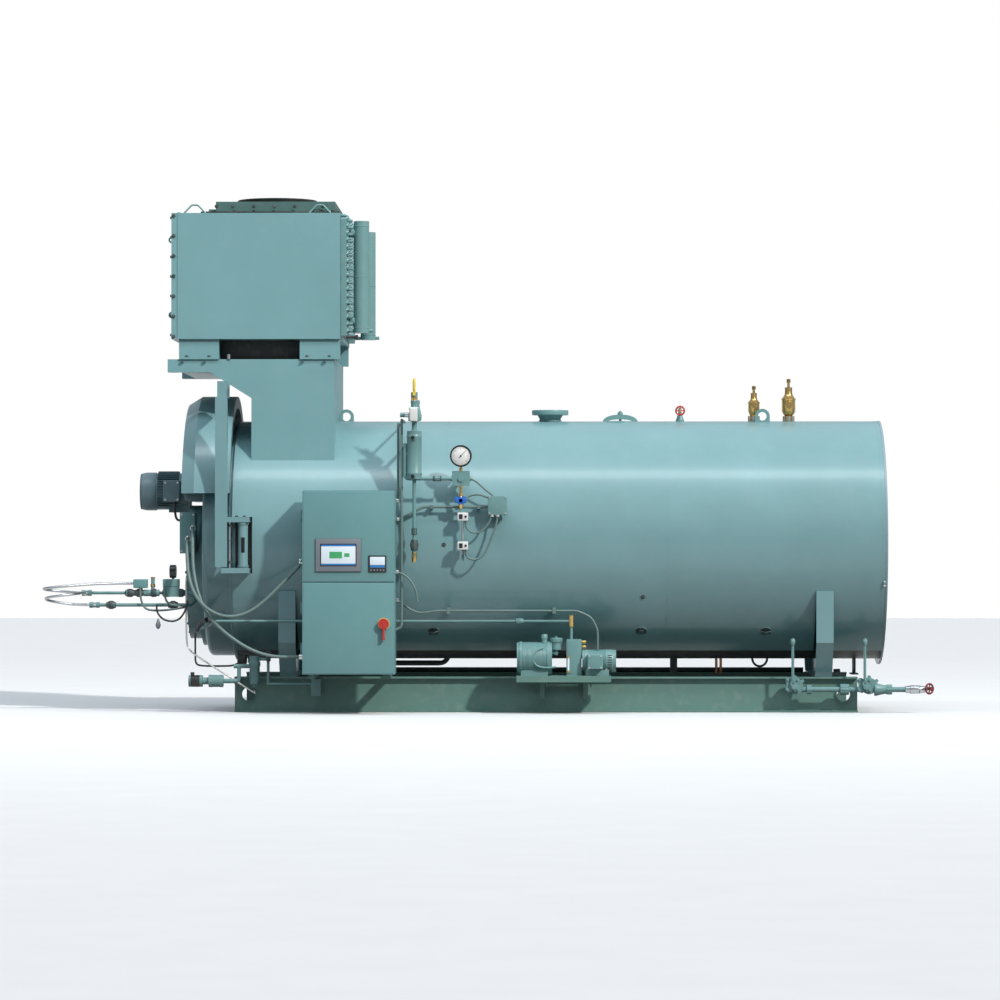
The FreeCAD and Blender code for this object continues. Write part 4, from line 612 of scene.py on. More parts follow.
@dataclass
class Vessel:
    """The jacketed shell, its end door, its front head and what shows beneath it."""

    axis_height: float = 1.750
    jacket_radius: float = 1.273
    front: float = -3.215
    rear: float = 3.480
    stop_angle: float = 61.7

    def on_jacket(self, x: float, height: float, proud: float = 0.0) -> tuple[float, float, float]:
        """The point of the near side of the jacket at this x and height.

        The depth is y = -sqrt((R + proud)^2 - (z - axis)^2).

        Args:
            x: place along the shell.
            height: height above the floor.
            proud: how far outside the jacket.

        Returns:
            The point.
        """
        radius = self.jacket_radius + proud
        return x, -math.sqrt(radius ** 2 - (height - self.axis_height) ** 2), height

    def bands(self) -> None:
        """Lapped sheet seams: thin arcs that follow the jacket round to its lower edge."""
        low, high = -math.radians(self.stop_angle), math.radians(180 + self.stop_angle)
        angle = np.linspace(low, high, 160)
        seams = Surface()
        for x, width in ((-3.196, 0.036), (-1.02, 0.006), (1.25, 0.006), (3.462, 0.036)):
            across = np.array([-width / 2, -width / 2, width / 2, width / 2])
            rise = np.array([-0.001, 0.0016, 0.0016, -0.001]) + self.jacket_radius
            points = np.stack([np.broadcast_to(x + across[None, :], (len(angle), 4)),
                               np.cos(angle)[:, None] * rise[None, :],
                               self.axis_height + np.sin(angle)[:, None] * rise[None, :]], axis=-1)
            seams.add(points, grid_faces(len(angle), 4, False))
        seams.build("jacket_seams", BOILER_PAINT)

    def door_edge(self) -> None:
        """The rear door's latch studs and its rim, whose lighter paint is a painted highlight along the door's edge."""
        studs = Surface()
        for angle in np.radians(np.arange(8, 360, 24)):
            centre = (self.rear + 0.003, math.cos(angle) * 1.262, self.axis_height + math.sin(angle) * 1.262)
            studs.turned([(0, 0.010), (0.014, 0.010), (0.016, 0.0005)], centre, Axis.X, 12)
        for height in (1.355, 1.315):
            x, y, z = self.on_jacket(self.rear - 0.012, height, -0.002)
            studs.turned([(0, 0.012), (0.024, 0.012), (0.026, 0.0005)], (x, y, z), steps=12,
                         direction=Vector((0, y, z - self.axis_height)))
        studs.build("door_studs", BARE_STEEL)
        # Painted highlight: the rim takes the lighter cowl paint to draw the light line along the door's edge.
        rim = Surface().turned([(-0.001, 1.2765), (0.0, 1.2780), (0.0215, 1.2780), (0.0225, 1.2765),
                                (0.0232, 1.262)], (self.rear, 0, self.axis_height), Axis.X, 180)
        rim.build("door_rim", COWL_PAINT_AND_RIM_HIGHLIGHT)

    def plugs(self) -> None:
        """Small plugged holes in the jacket, each with a dark seat."""
        seat, cap = Surface(), Surface()
        for x, height, radius in ((-1.044, 1.725, 0.022), (0.996, 1.189, 0.023)):
            place = self.on_jacket(x, height)
            out = Vector((0, place[1], height - self.axis_height))
            seat.turned([(-0.002, radius), (0.003, radius), (0.003, radius * 0.6), (-0.006, radius * 0.55),
                         (-0.006, 0.0005)], place, steps=32, direction=out)
            cap.turned([(-0.004, radius * 0.5), (0.004, radius * 0.45), (0.005, 0.0005)], place, steps=24,
                       direction=out)
        seat.build("jacket_plug_seats", BLACK_STEEL)
        cap.build("jacket_plug_caps", DARK_IRON)

    def hand_holes(self) -> None:
        """Elliptical cover, yoke and nut in each hand hole, and a pipe plug in the middle one."""
        rims, covers, yokes = Surface(), Surface(), Surface()
        for index, x in enumerate((-1.160, 0.982, 2.267)):
            place = np.array(self.on_jacket(x, 0.835))
            out = Vector((0, place[1], 0.835 - self.axis_height)).normalized()
            away = np.array(out)
            rims.turned([(-0.004, 0.062), (0.003, 0.062), (0.004, 0.057), (-0.030, 0.055)], place, steps=48,
                        direction=out)
            covers.turned([(-0.020, 0.050), (-0.012, 0.050), (-0.006, 0.040), (-0.004, 0.0005)], place,
                          steps=48, direction=out)
            if index == 1:
                yokes.turned([(-0.006, 0.028), (0.010, 0.028), (0.014, 0.024), (0.014, 0.0005)], place,
                             steps=32, direction=out)
            else:
                bar = spread(place - [0.052, 0, 0] + away * 0.004, place + [0.052, 0, 0] + away * 0.004, 9)
                bow = np.sin(np.linspace(0, np.pi, 9))[:, None] * away * 0.012
                yokes.tube(bar + bow, 0.011, 10)
                yokes.bolts(place + away * 0.020, tuple(out), 0.020)
        rims.build("hand_hole_rims", BOILER_PAINT)
        covers.build("hand_hole_covers_cast", DARK_IRON)
        yokes.build("hand_hole_yokes", DARK_IRON)

    def beneath(self) -> None:
        """Pipes and fittings that hang under the belly between the rails."""
        dark, brown = Surface(), Surface()
        dark.tube(spread((-1.58, 0.10, 0.480), (-1.12, 0.10, 0.480), 6), 0.028, 20)
        turn = np.linspace(0, np.pi / 2, 12)
        bend = np.stack([-1.12 + 0.09 * np.sin(turn), np.full(12, 0.10), 0.570 - 0.09 * np.cos(turn)],
                axis=-1)
        dark.tube(bend, 0.026, 20)
        dark.block((1.304, -0.06, 0.372), (1.378, 0.06, 0.545), 0.006)
        yoke = np.linspace(-0.1, np.pi + 0.1, 24)
        dark.tube(np.stack([2.245 + 0.078 * np.cos(yoke), np.full(24, -0.02), 0.535 - 0.085 * np.sin(yoke)],
                axis=-1),
                  0.012, 12)
        dark.block((3.196, -0.16, 0.366), (3.275, 0.16, 0.380), 0.003).block((3.226, -0.16, 0.372), (3.244,
                0.16, 0.560))
        dark.turned([(0, 0.0005), (0.002, 0.026), (0.07, 0.028), (0.075, 0.0005)], (3.012, -0.1, 0.398),
                Axis.X, 24)
        for x in (1.790, 1.836):
            brown.tube(spread((x, 0.0, 0.372), (x, 0.0, 0.548), 8), 0.014, 16)
        dark.tube(spread((-2.45, 0.86, 0.390), (2.75, 0.86, 0.390), 6), 0.026, 24)
        dark.build("belly_fittings", DARK_IRON)
        brown.build("belly_drains", COPPER)

    def head(self) -> None:
        """Bolts round the front head's flange, its lug and the blocks below it."""
        ring = Surface()
        centres = circle((self.front - 0.004, 0, self.axis_height), 1.205, 48, Axis.X)
        ring.bolts(centres, (-1, 0, 0), 0.016)
        ring.build("head_bolts", FITTING_PAINT)
        lip = Surface().turned([(-0.034, 1.190), (-0.034, 1.232), (-0.030, 1.236), (-0.002, 1.236), (0.002,
                1.215)],
                               (self.front, 0, self.axis_height), Axis.X, 180)
        lip.build("head_flange", BOILER_PAINT)
        x, y, z = self.on_jacket(-3.345, 1.02, -0.085)
        Surface().block((x - 0.030, y - 0.02, z - 0.028), (x + 0.030, y + 0.03, z + 0.028), 0.008).build(
            "head_lug", COWL_PAINT_AND_RIM_HIGHLIGHT)
        blocks = Surface().block((-3.19, -0.85, 0.490), (-3.10, -0.62, 0.585), 0.01)
        blocks.block((-3.08, -0.82, 0.500), (-3.01, -0.66, 0.575), 0.01)
        blocks.build("head_stop_blocks", BLACK_STEEL)

    def build(self) -> None:
        """Finish the shell and add its details."""
        dress("pressure_shell", BLACK_STEEL)
        dress("jacket rear_door front_head", BOILER_PAINT)
        dress("handhole_covers", DARK_IRON)
        dress("base_rails base_crossmembers", FRAME_PAINT, 0.004)
        dress("saddles", BOILER_PAINT, 0.004)
        dress("lifting_points", FITTING_PAINT, 0.003)
        self.bands()
        self.door_edge()
        self.plugs()
        self.hand_holes()
        self.beneath()
        self.head()


@dataclass
class Frame:
    """The two rails: welds along the saddle feet and sleeves at the lifting holes."""

    length: float = 6.424
    height: float = 0.364
    half_width: float = 0.930
    hole_in: float = 0.144
    hole_radius: float = 0.076

    def build(self) -> None:
        """Add a sleeve to each lifting hole and a weld along each saddle foot."""
        sleeves, welds = Surface(), Surface()
        web = self.half_width - 0.065
        for end in (-1, 1):
            x = end * (self.length / 2 - self.hole_in)
            for side in (-1, 1):
                sleeves.turned([(-0.030, self.hole_radius - 0.006), (-0.030, self.hole_radius + 0.004),
                                (0.030, self.hole_radius + 0.004), (0.030, self.hole_radius - 0.006),
                                (-0.030, self.hole_radius - 0.006)], (x, side * web, 0.182), Axis.Y, 48)
        for x in (-2.741, -2.569, 2.773, 2.949):
            wave = np.linspace(0, 1, 90)
            bead = 0.006 + 0.0012 * np.cos(wave * 2 * np.pi * 60)
            for side in (-1, 1):
                line = np.stack([np.full(90, x), side * (self.half_width - 0.128 + 0.126 * wave),
                                 np.full(90, self.height + 0.001)], axis=-1)
                welds.tube(line, bead, 8)
        sleeves.build("lifting_hole_sleeves", FRAME_PAINT)
        welds.build("saddle_welds", FRAME_PAINT)


@dataclass
class Economizer:
    """The finned-tube casing over the front of the shell, with its hood and outlet collar."""

    right: float = -2.118
    low: float = 3.847
    high: float = 5.148
    half_width: float = 1.000
    collar_x: float = -2.830
    bolt: float = 0.016

    def cover(self) -> None:
        """Bolts along the removable end cover's edges and a gasket strip at its near edge."""
        heads = Surface()
        rows = spread((-3.837, -self.half_width - 0.001, 3.874), (-3.837, -self.half_width - 0.001, 5.120), 7)
        heads.bolts(rows, (0, -1, 0), self.bolt)
        edge = np.concatenate([spread((0, y, 3.89), (0, y, 5.10), 7) for y in (-0.955, 0.955)]
                              + [spread((0, -0.80, z), (0, 0.80, z), 8) for z in (3.885, 5.110)])
        heads.bolts(edge + [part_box("economizer_end_cover")[0][0] + 0.034, 0, 0], (-1, 0, 0), self.bolt)
        heads.build("cover_bolts", DARK_IRON)
        gasket = Surface().block((-3.800, -1.0035, 3.862), (-3.790, -1.0, 5.135), 0.001)
        gasket.build("cover_gasket", GASKET)

    def hood(self) -> None:
        """Bolts and stud ends on the hood, and the black outlet collar with a rolled rim."""
        heads = Surface()
        row = np.array([[-3.232, 0, 5.190], [-3.015, 0, 5.190], [-2.802, 0, 5.190], [-2.591, 0, 5.190],
                        [-3.400, 0, 5.190], [-2.300, 0, 5.190]])
        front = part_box("economizer_hood")[0][1]
        heads.bolts(row + [0, front - 0.001, 0.03], (0, -1, 0), self.bolt)
        studs = spread((-3.42, front + 0.05, 5.148), (-2.20, front + 0.05, 5.148), 7)
        heads.build("hood_bolts", DARK_IRON)
        lip = Surface().block((-3.560, front - 0.030, 5.148), (-2.125, front + 0.012, 5.166), 0.003)
        lip.block((-3.560, -front - 0.012, 5.148), (-2.125, -front + 0.030, 5.166), 0.003)
        lip.bolts(studs + [0, -0.062, 0.018], (0, 0, 1), 0.014)
        lip.build("hood_flange", BLACK_STEEL)
        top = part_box("economizer_hood")[1][2]
        collar = Surface().turned(
            [(-0.078, 0.4115), (-0.020, 0.4115), (-0.012, 0.4180), (0.0, 0.4180), (0.004, 0.4115), (0.004,
                    0.3980),
             (-0.002, 0.3955), (-0.150, 0.3955)], (self.collar_x, 0, top), Axis.Z, 120)
        collar.build("outlet_collar", BLACK_STEEL)

    def tubes(self) -> None:
        """Return bends: a half ring for each pair of tube rows, in seven columns across the casing's right end.

        Each bend is centre + reach * sin(t) outwards and pitch/2 * cos(t) upwards, t from 0 to pi.
        """
        bends = Surface()
        turn = np.linspace(0, np.pi, 14)
        for row in range(17):
            z = self.low + 0.062 + 0.0727 * (row + 0.5)
            for y in np.linspace(-0.90, 0.90, 7):
                line = np.stack([self.right + 0.072 * np.sin(turn) + 0.002, np.full(14,
                        y) + 0.020 * np.cos(turn),
                                 z + 0.022 * np.cos(turn)], axis=-1)
                bends.tube(line, 0.0145, 10)
        bends.build("return_bends", FITTING_PAINT)

    def headers(self) -> None:
        """Weld rings on the two upright headers, and a small black drain."""
        rings = Surface()
        low, high = span("economizer_headers")
        for y in (-0.80, 0.80):
            for z in (low[2] + 0.05, high[2] - 0.05, (low[2] + high[2]) / 2):
                rings.turned([(-0.005, 0.0795), (0, 0.0835), (0.005, 0.0795)], (-1.908, y, z), Axis.Z, 40)
        rings.build("header_welds", FITTING_PAINT)
        drain = Surface().tube(np.array([[-2.06, -0.93, 3.868], [-2.00, -0.93, 3.868], [-1.94, -0.93,
                3.868]]), 0.016)
        drain.turned([(0, 0.0005), (0, 0.024), (0.03, 0.024), (0.03, 0.0005)], (-1.965, -0.93, 3.868),
                Axis.X, 20)
        drain.build("header_drain", BLACK_STEEL)

    def supports(self) -> None:
        """Foot bolts, the bare nub between the feet, and black sheets over the duct that paint the shade in its throat.
        """
        bolts = Surface()
        for x in (-3.70, -3.47, -2.46, -2.23):
            bolts.bolts(np.array([[x, -1.02, 3.660]]), (0, 0, 1), 0.018)
        bolts.build("foot_bolts", DARK_IRON)
        nub = Surface().turned([(0, 0.018), (0.05, 0.018), (0.055, 0.0005)], (-3.270, -0.95, 3.640), Axis.Z,
                24)
        nub.build("drain_nub", BARE_STEEL)
        # Painted shade: two black sheets stand in the duct's throat where its far side lies in deep shade.
        shade = Surface().block((-3.389, -0.7045, 3.642), (-2.523, -0.6990, 3.846), 0.002)
        shade.block((-3.389, 0.6990, 3.642), (-2.523, 0.7045, 3.846), 0.002)
        shade.build("throat_painted_shade", BLACK_STEEL)
        sheet = Surface().block((self.right - 0.004, -0.965, self.low + 0.04), (self.right + 0.004, 0.965,
                self.high - 0.04), 0.002)
        sheet.build("tube_sheet", DARK_IRON)

    def build(self) -> None:
        """Finish the casing, its supports and its tubes."""
        dress("economizer_casing economizer_end_cover", ECONOMIZER_PAINT, 0.004)
        # The dark hood finish carries painted shade from under the hood's top plate.
        dress("economizer_hood", HOOD_PAINT_AND_SHADE, 0.004)
        dress("economizer_platform flue_duct", ECONOMIZER_PAINT, 0.006)
        dress("economizer_tube_bends economizer_headers", FITTING_PAINT)
        self.cover()
        self.hood()
        self.tubes()
        self.headers()
        self.supports()


@dataclass
class Burner:
    """The windbox, the burner drum, its fan motor and the control box beside it."""

    motor_left: float = -4.098
    motor_radius: float = 0.191
    motor_height: float = 2.287
    drum_left: float = -3.730
    drum_height: float = 1.440

    def motor(self) -> None:
        """Fins along the motor and a grilled cowl."""
        angle = np.radians(np.arange(20, 341, 8.0))
        angle = angle[(angle < np.radians(235)) | (angle > np.radians(305))]
        fins = Surface()
        across = np.stack([-np.sin(angle), np.cos(angle)], axis=1) * 0.0028
        way = np.stack([np.cos(angle), np.sin(angle)], axis=1)
        inner, outer = way * (self.motor_radius - 0.004), way * (self.motor_radius + 0.022)
        section = np.stack([inner - across, outer - across * 0.6, outer + across * 0.6, inner + across],
                axis=1)
        ends = self.motor_left + np.array([0.015, 0.020, 0.238, 0.243])
        for part in section:
            points = np.zeros((4, 4, 3))
            points[..., 0] = ends[:, None]
            points[..., 1:] = part[None]
            points[0, 1:3, 1:] = part[[0, 3]] * 1.02
            points[3, 1:3, 1:] = part[[0, 3]] * 1.02
            points[..., 2] += self.motor_height
            fins.add(points, grid_faces(4, 4, False))
        fins.build("motor_fins", MOTOR_PAINT)
        cowl = Surface().turned(
            [(0.162, 0.189), (0.165, 0.196), (0.160, 0.200), (0.060, 0.200), (0.020, 0.192), (0.004, 0.168),
             (-0.001, 0.140), (-0.001, 0.0005)], (self.motor_left - 0.165, 0, self.motor_height), Axis.X, 96)
        cowl.build("motor_cowl", COWL_PAINT_AND_RIM_HIGHLIGHT)
        slots = Surface()
        for radius in (0.045, 0.070, 0.095, 0.120):
            slots.turned([(0, radius - 0.006), (-0.003, radius - 0.006), (-0.003, radius + 0.006), (0,
                    radius + 0.006)],
                         (self.motor_left - 0.165, 0, self.motor_height), Axis.X, 64)
        slots.build("cowl_grille", BLACK_STEEL)

    def terminal(self) -> None:
        """The terminal box lid with its screws, and the formed lead down to the burner."""
        low = np.array([-4.003, -0.305, 2.178])
        lid = Surface().block(low + [-0.005, 0, -0.005], low + [0.173, 0.024, 0.222], 0.010)
        lid.build("terminal_lid", MOTOR_PAINT)
        corners = np.array([[0.020, 0, 0.020], [0.148, 0, 0.020], [0.020, 0, 0.197], [0.148, 0, 0.197]]) + low
        Surface().bolts(corners, (0, -1, 0), 0.009).build("terminal_screws", ZINC)
        lead = Surface().tube(eased([(-3.885, -0.26, 2.185), (-3.885, -0.27, 2.05), (-3.86, -0.30, 1.98),
                                     (-3.79, -0.42, 1.98), (-3.735, -0.66, 1.99)]), 0.013, 14)
        lead.build("motor_lead", BLACK_STEEL)

    def drum(self) -> None:
        """Rim bolts, a cover plate and a sight port on the burner drum, bolts along the windbox, and the motor's foot
        plate.
        """
        heads = Surface()
        heads.bolts(circle((self.drum_left - 0.001, 0, self.drum_height), 0.660, 20, Axis.X), (-1, 0, 0),
                0.015)
        low, _ = span("burner_windbox")
        heads.bolts(spread((low[0] - 0.001, -1.10, low[2] + 0.06), (low[0] - 0.001, 1.10, low[2] + 0.06), 14),
                    (-1, 0, 0), 0.014)
        heads.build("burner_bolts", DARK_IRON)
        plate = Surface().turned([(0.0, 0.36), (-0.018, 0.36), (-0.024, 0.352), (-0.024, 0.12), (-0.05, 0.10),
                                  (-0.05, 0.0005)], (self.drum_left, 0, self.drum_height), Axis.X, 80)
        plate.build("burner_cover", FITTING_PAINT)
        sight = Surface().turned([(0, 0.036), (-0.05, 0.036), (-0.05, 0.026), (-0.03, 0.024), (-0.03,
                0.0005)],
                                 (self.drum_left - 0.01, -0.42, self.drum_height + 0.30), Axis.X, 32)
        sight.build("sight_port", BRASS)
        foot = Surface().block((-3.740, -0.75, 2.180), (-3.535, 0.75, 2.270), 0.006)
        foot.build("motor_foot_plate", MOTOR_PAINT)

    def control_box(self) -> None:
        """The burner control box's lid, screws and glands."""
        low, high = span("burner_junction_box")
        lid = Surface().block((low[0] - 0.004, low[1] - 0.018, low[2] - 0.004),
                              (high[0] + 0.002, low[1] + 0.003, high[2] + 0.004), 0.006)
        lid.build("control_box_lid", CABINET_PAINT)
        corners = np.array([[low[0] + 0.016, 0, low[2] + 0.02], [high[0] - 0.016, 0, low[2] + 0.02],
                            [low[0] + 0.016, 0, high[2] - 0.02], [high[0] - 0.016, 0, high[2] - 0.02]])
        Surface().bolts(corners + [0, low[1] - 0.018, 0], (0, -1, 0), 0.008).build("control_box_screws", ZINC)
        glands = Surface()
        for x, z in ((-3.690, 1.790), (-3.640, 1.900)):
            glands.turned([(0.0, 0.030), (0.012, 0.030), (0.014, 0.024), (0.040, 0.024), (0.044, 0.019)],
                          (x, low[1] - 0.012, z), steps=24, direction=Vector((0, -1, -0.08)))
        glands.build("control_box_glands", ZINC)

    def build(self) -> None:
        """Finish the burner and add its details."""
        dress("burner_windbox burner_housing", BOILER_PAINT, 0.006)
        dress("burner_junction_box", CABINET_PAINT, 0.004)
        dress("blower_motor", MOTOR_PAINT, 0.006)
        self.motor()
        self.terminal()
        self.drum()
        self.control_box()


@dataclass
class Davit:
    """The swing arm and hinge that carry the front head."""

    hinge_x: float = -3.094
    hinge_y: float = -1.345

    def build(self) -> None:
        """Finish the davit, with its bare rod, clamps, collars and bolts."""
        dress("head_davit", BOILER_PAINT, 0.006)
        rod = Surface().tube(spread((-3.230, -1.35, 1.470), (-3.230, -1.35, 1.965), 4), 0.0125, 20)
        rod.build("hinge_rod", BARE_STEEL)
        clamps = Surface()
        for z in (1.530, 1.905):
            clamps.turned([(0, 0.014), (0, 0.026), (0.028, 0.026), (0.028, 0.014)], (-3.230, -1.35, z),
                    Axis.Z, 6)
        clamps.build("hinge_clamps", DARK_IRON)
        collars = Surface()
        for z in (1.497, 1.930):
            collars.turned([(0, 0.050), (0, 0.058), (0.017, 0.058), (0.017, 0.050)],
                           (self.hinge_x, self.hinge_y, z), Axis.Z, 48)
        collars.build("hinge_collars", FITTING_PAINT)
        heads = Surface().bolts(np.array([[-3.16, -1.36, 2.009], [-3.08, -1.36, 2.009], [-3.16, -1.30,
                2.009]]),
                                (0, 0, 1), 0.016)
        heads.build("hinge_bolts", DARK_IRON)


@dataclass
class Cabinet:
    """The control cabinet with its two doors, screens and disconnect switch."""

    front: float = -1.730

    def doors(self) -> None:
        """A folded return round each door face, drawn as a raised rounded panel."""
        for node, body in (("upper_door", UPPER_DOOR), ("lower_door", LOWER_DOOR)):
            low, high = span(node)
            face = Surface()
            inset = 0.008
            face.block((-2.465 + inset, self.front - 0.0035, low[2] + inset),
                       (-1.528 - inset, self.front + 0.006, high[2] - inset), 0.003)
            face.build(node + "_face", CABINET_PAINT, body)

    def screens(self) -> None:
        """The operator screen in its bezel and the small controller display."""
        bezel = Surface().block((-2.332, -1.749, 1.451), (-1.868, -1.728, 1.787), 0.008)
        bezel.build("screen_bezel", GREY_BEZEL, UPPER_DOOR)
        frame_in = Surface().block((-2.284, -1.7515, 1.506), (-1.914, -1.745, 1.736), 0.003)
        frame_in.build("screen_frame", BLACK_CASE, UPPER_DOOR)
        glass = Surface().block((-2.273, -1.7530, 1.517), (-1.925, -1.748, 1.725), 0.001)
        glass.build("screen_page", SCREEN_LIT_AND_GLASS_GLOW, UPPER_DOOR)
        bars = Surface().block((-2.273, -1.7534, 1.708), (-1.925, -1.7500, 1.725), 0.001)
        bars.block((-2.273, -1.7534, 1.517), (-1.925, -1.7500, 1.534), 0.001)
        bars.build("screen_bars", SCREEN_BLUE, UPPER_DOOR)
        shapes = Surface().block((-2.190, -1.7534, 1.585), (-2.060, -1.7500, 1.655), 0.012)
        shapes.block((-2.040, -1.7534, 1.600), (-1.985, -1.7500, 1.640), 0.006)
        shapes.build("screen_shapes", SCREEN_GREEN, UPPER_DOOR)
        body = Surface().block((-1.793, -1.7475, 1.447), (-1.612, -1.728, 1.617), 0.006)
        body.build("controller_case", BLACK_CASE, UPPER_DOOR)
        Surface().block((-1.778, -1.7495, 1.520), (-1.627, -1.744, 1.602), 0.001).build(
            "controller_page", SCREEN_LIT_AND_GLASS_GLOW, UPPER_DOOR)
        Surface().block((-1.778, -1.7492, 1.492), (-1.627, -1.744, 1.518), 0.001).build(
            "controller_band", SCREEN_BLUE, UPPER_DOOR)
        keys = Surface()
        for x in spread((-1.766, 0, 0), (-1.640, 0, 0), 5)[:, 0]:
            keys.block((x - 0.008, -1.7505, 1.458), (x + 0.008, -1.745, 1.476), 0.003)
        keys.build("controller_keys", GREY_BEZEL, UPPER_DOOR)

    def disconnect(self) -> None:
        """A yellow plate on the door, and a red knob and bar on the turning handle."""
        plate = Surface().turned([(-0.004, 0.0005), (-0.004, 0.064), (0.001, 0.066), (0.003, 0.064), (0.003,
                0.0005)],
                                 (-1.639, -1.7345, 0.923), steps=64, direction=Vector((0, -1, 0)))
        plate.build("disconnect_plate", YELLOW, LOWER_DOOR)
        ring = Surface().turned([(0, 0.060), (0.003, 0.060), (0.004, 0.055)], (-1.639, -1.7375, 0.923),
                steps=48,
                                direction=Vector((0, -1, 0)))
        ring.build("disconnect_ring", YELLOW, LOWER_DOOR)
        knob = Surface().turned([(0, 0.050), (0.004, 0.054), (0.034, 0.054), (0.042, 0.048), (0.044, 0.0005)],
                                (-1.639, -1.7445, 0.923), steps=64, direction=Vector((0, -1, 0)))
        knob.block((-1.652, -1.7895, 0.757), (-1.626, -1.7745, 0.940), 0.006)
        knob.build("disconnect_knob", RED_HANDLE, HANDLE)

    def glands(self) -> None:
        """Conduit glands on the side and the end of the cabinet."""
        side = Surface()
        for y, z in ((-1.480, 1.450), (-1.345, 1.161), (-1.350, 2.176), (-1.310, 1.985)):
            side.turned([(0.0, 0.024), (0.004, 0.026), (0.010, 0.026), (0.012, 0.020), (0.030, 0.020),
                    (0.032, 0.014)],
                        (-1.527, y, z), Axis.X, 24)
        for y, z in ((-1.530, 1.555), (-1.530, 0.583)):
            side.turned([(0.0, 0.034), (0.006, 0.036), (0.014, 0.036), (0.016, 0.028), (0.044, 0.028),
                    (0.046, 0.020)],
                        (-2.464, y, z), steps=24, direction=Vector((-1, 0, 0)))
        side.build("cabinet_glands", ZINC)

    def build(self) -> None:
        """Finish the cabinet and dress its doors."""
        dress("cabinet_body lower_door upper_door", CABINET_PAINT, 0.002)
        dress("cabinet_brackets", FRAME_PAINT, 0.003)
        dress("door_displays", BLACK_CASE, 0.002)
        dress("disconnect_handle", RED_HANDLE, 0.003)
        self.doors()
        self.screens()
        self.disconnect()
        self.glands()


@dataclass
class WaterColumn:
    """The level chamber, its probe head and blow-off valve, and its piping."""

    x: float = -1.340
    y: float = -1.420

    def chamber(self) -> None:
        """A turned chamber with rounded shoulders and raised bosses."""
        body = Surface().turned(
            [(2.390, 0.0005), (2.390, 0.040), (2.396, 0.060), (2.412, 0.075), (2.440, 0.0765), (2.446,
                    0.0790),
             (2.458, 0.0790), (2.464, 0.0755), (2.815, 0.0755), (2.822, 0.0790), (2.834, 0.0790), (2.842,
                     0.0755),
             (2.866, 0.070), (2.884, 0.050), (2.892, 0.032), (2.900, 0.028)], (self.x, self.y, 0), Axis.Z, 64)
        body.build("column_chamber", FITTING_PAINT)
        plugs = Surface()
        for z in (2.815, 2.420):
            plugs.turned([(0, 0.026), (0.010, 0.026), (0.012, 0.018), (0.034, 0.018), (0.036, 0.0005)],
                         (self.x - 0.008, self.y - 0.074, z), steps=6, direction=Vector((0, -1, 0)))
        plugs.build("column_plugs", BLACK_CASE)

    def head(self) -> None:
        """The white probe housing with its cap and cable gland."""
        case = Surface().block((-1.386, -1.555, 2.978), (-1.300, -1.478, 3.122), 0.014, 5)
        case.block((-1.392, -1.550, 3.098), (-1.294, -1.474, 3.126), 0.010, 4)
        case.build("probe_case", WHITE_CASE)
        gland = Surface().turned([(0, 0.0250), (0.02, 0.0260), (0.028, 0.0245), (0.060, 0.0235), (0.075,
                0.020),
                                  (0.088, 0.017)], (-1.395, self.y, 3.050), steps=32, direction=Vector((-1, 0, 0)))
        gland.build("column_elbow", BARE_STEEL)

    def valve(self) -> None:
        """The cast green valve, a brass stem with a packing nut, and a yellow sleeved lever."""
        cast = Surface().turned(
            [(2.984, 0.034), (2.990, 0.058), (3.004, 0.064), (3.050, 0.066), (3.066, 0.058), (3.090, 0.056),
             (3.110, 0.048), (3.160, 0.043), (3.168, 0.047), (3.196, 0.047), (3.200, 0.040)],
            (self.x + 0.010, self.y, 0), Axis.Z, 48)
        cast.build("column_valve_body", FITTING_PAINT)
        stem = Surface().turned([(3.196, 0.034), (3.204, 0.036), (3.228, 0.036), (3.232, 0.026), (3.262,
                0.024),
                                 (3.272, 0.018), (3.284, 0.016), (3.286, 0.0005)], (self.x, self.y - 0.01, 0), Axis.Z, 6)
        stem.build("column_valve_stem", BRASS)
        lever = Surface().tube(spread((self.x, -1.475, 3.292), (self.x, -1.475, 3.415), 9),
                               np.array([0.009, 0.014, 0.0145, 0.0145, 0.0145, 0.0145, 0.0145, 0.013, 0.008]), 16)
        lever.build("column_lever_sleeve", YELLOW, COLUMN_LEVER)

    def piping(self) -> None:
        """Couplings, a dark gate valve and a brass cock on the drain line."""
        cast = Surface().turned([(1.664, 0.022), (1.668, 0.034), (1.690, 0.036), (1.720, 0.046), (1.752,
                0.036),
                                 (1.772, 0.034), (1.778, 0.020)], (self.x, self.y, 0), Axis.Z, 8)
        cast.turned([(1.826, 0.020), (1.828, 0.029), (1.892, 0.029), (1.894, 0.020)], (self.x, self.y, 0),
                Axis.Z, 8)
        cast.build("drain_valve", DARK_IRON)
        brass = Surface().turned([(1.545, 0.0005), (1.545, 0.018), (1.560, 0.025), (1.600, 0.027), (1.640,
                0.025),
                                  (1.662, 0.020)], (self.x, self.y, 0), Axis.Z, 24)
        brass.block((self.x - 0.010, self.y - 0.040, 1.545), (self.x + 0.010, self.y - 0.028, 1.650), 0.004)
        brass.build("drain_cock", BRASS)
        nuts = Surface()
        for x in (-1.132, -1.082):
            nuts.turned([(0, 0.019), (0.002, 0.028), (0.034, 0.028), (0.036, 0.019)], (x - 0.018, self.y,
                    2.400), Axis.X, 8)
        nuts.build("column_unions", DARK_IRON)

    def build(self) -> None:
        """Finish the column and add its parts."""
        dress("water_column column_piping", FITTING_PAINT, 0.002)
        dress("column_valve_lever", YELLOW)
        self.chamber()
        self.head()
        self.valve()
        self.piping()


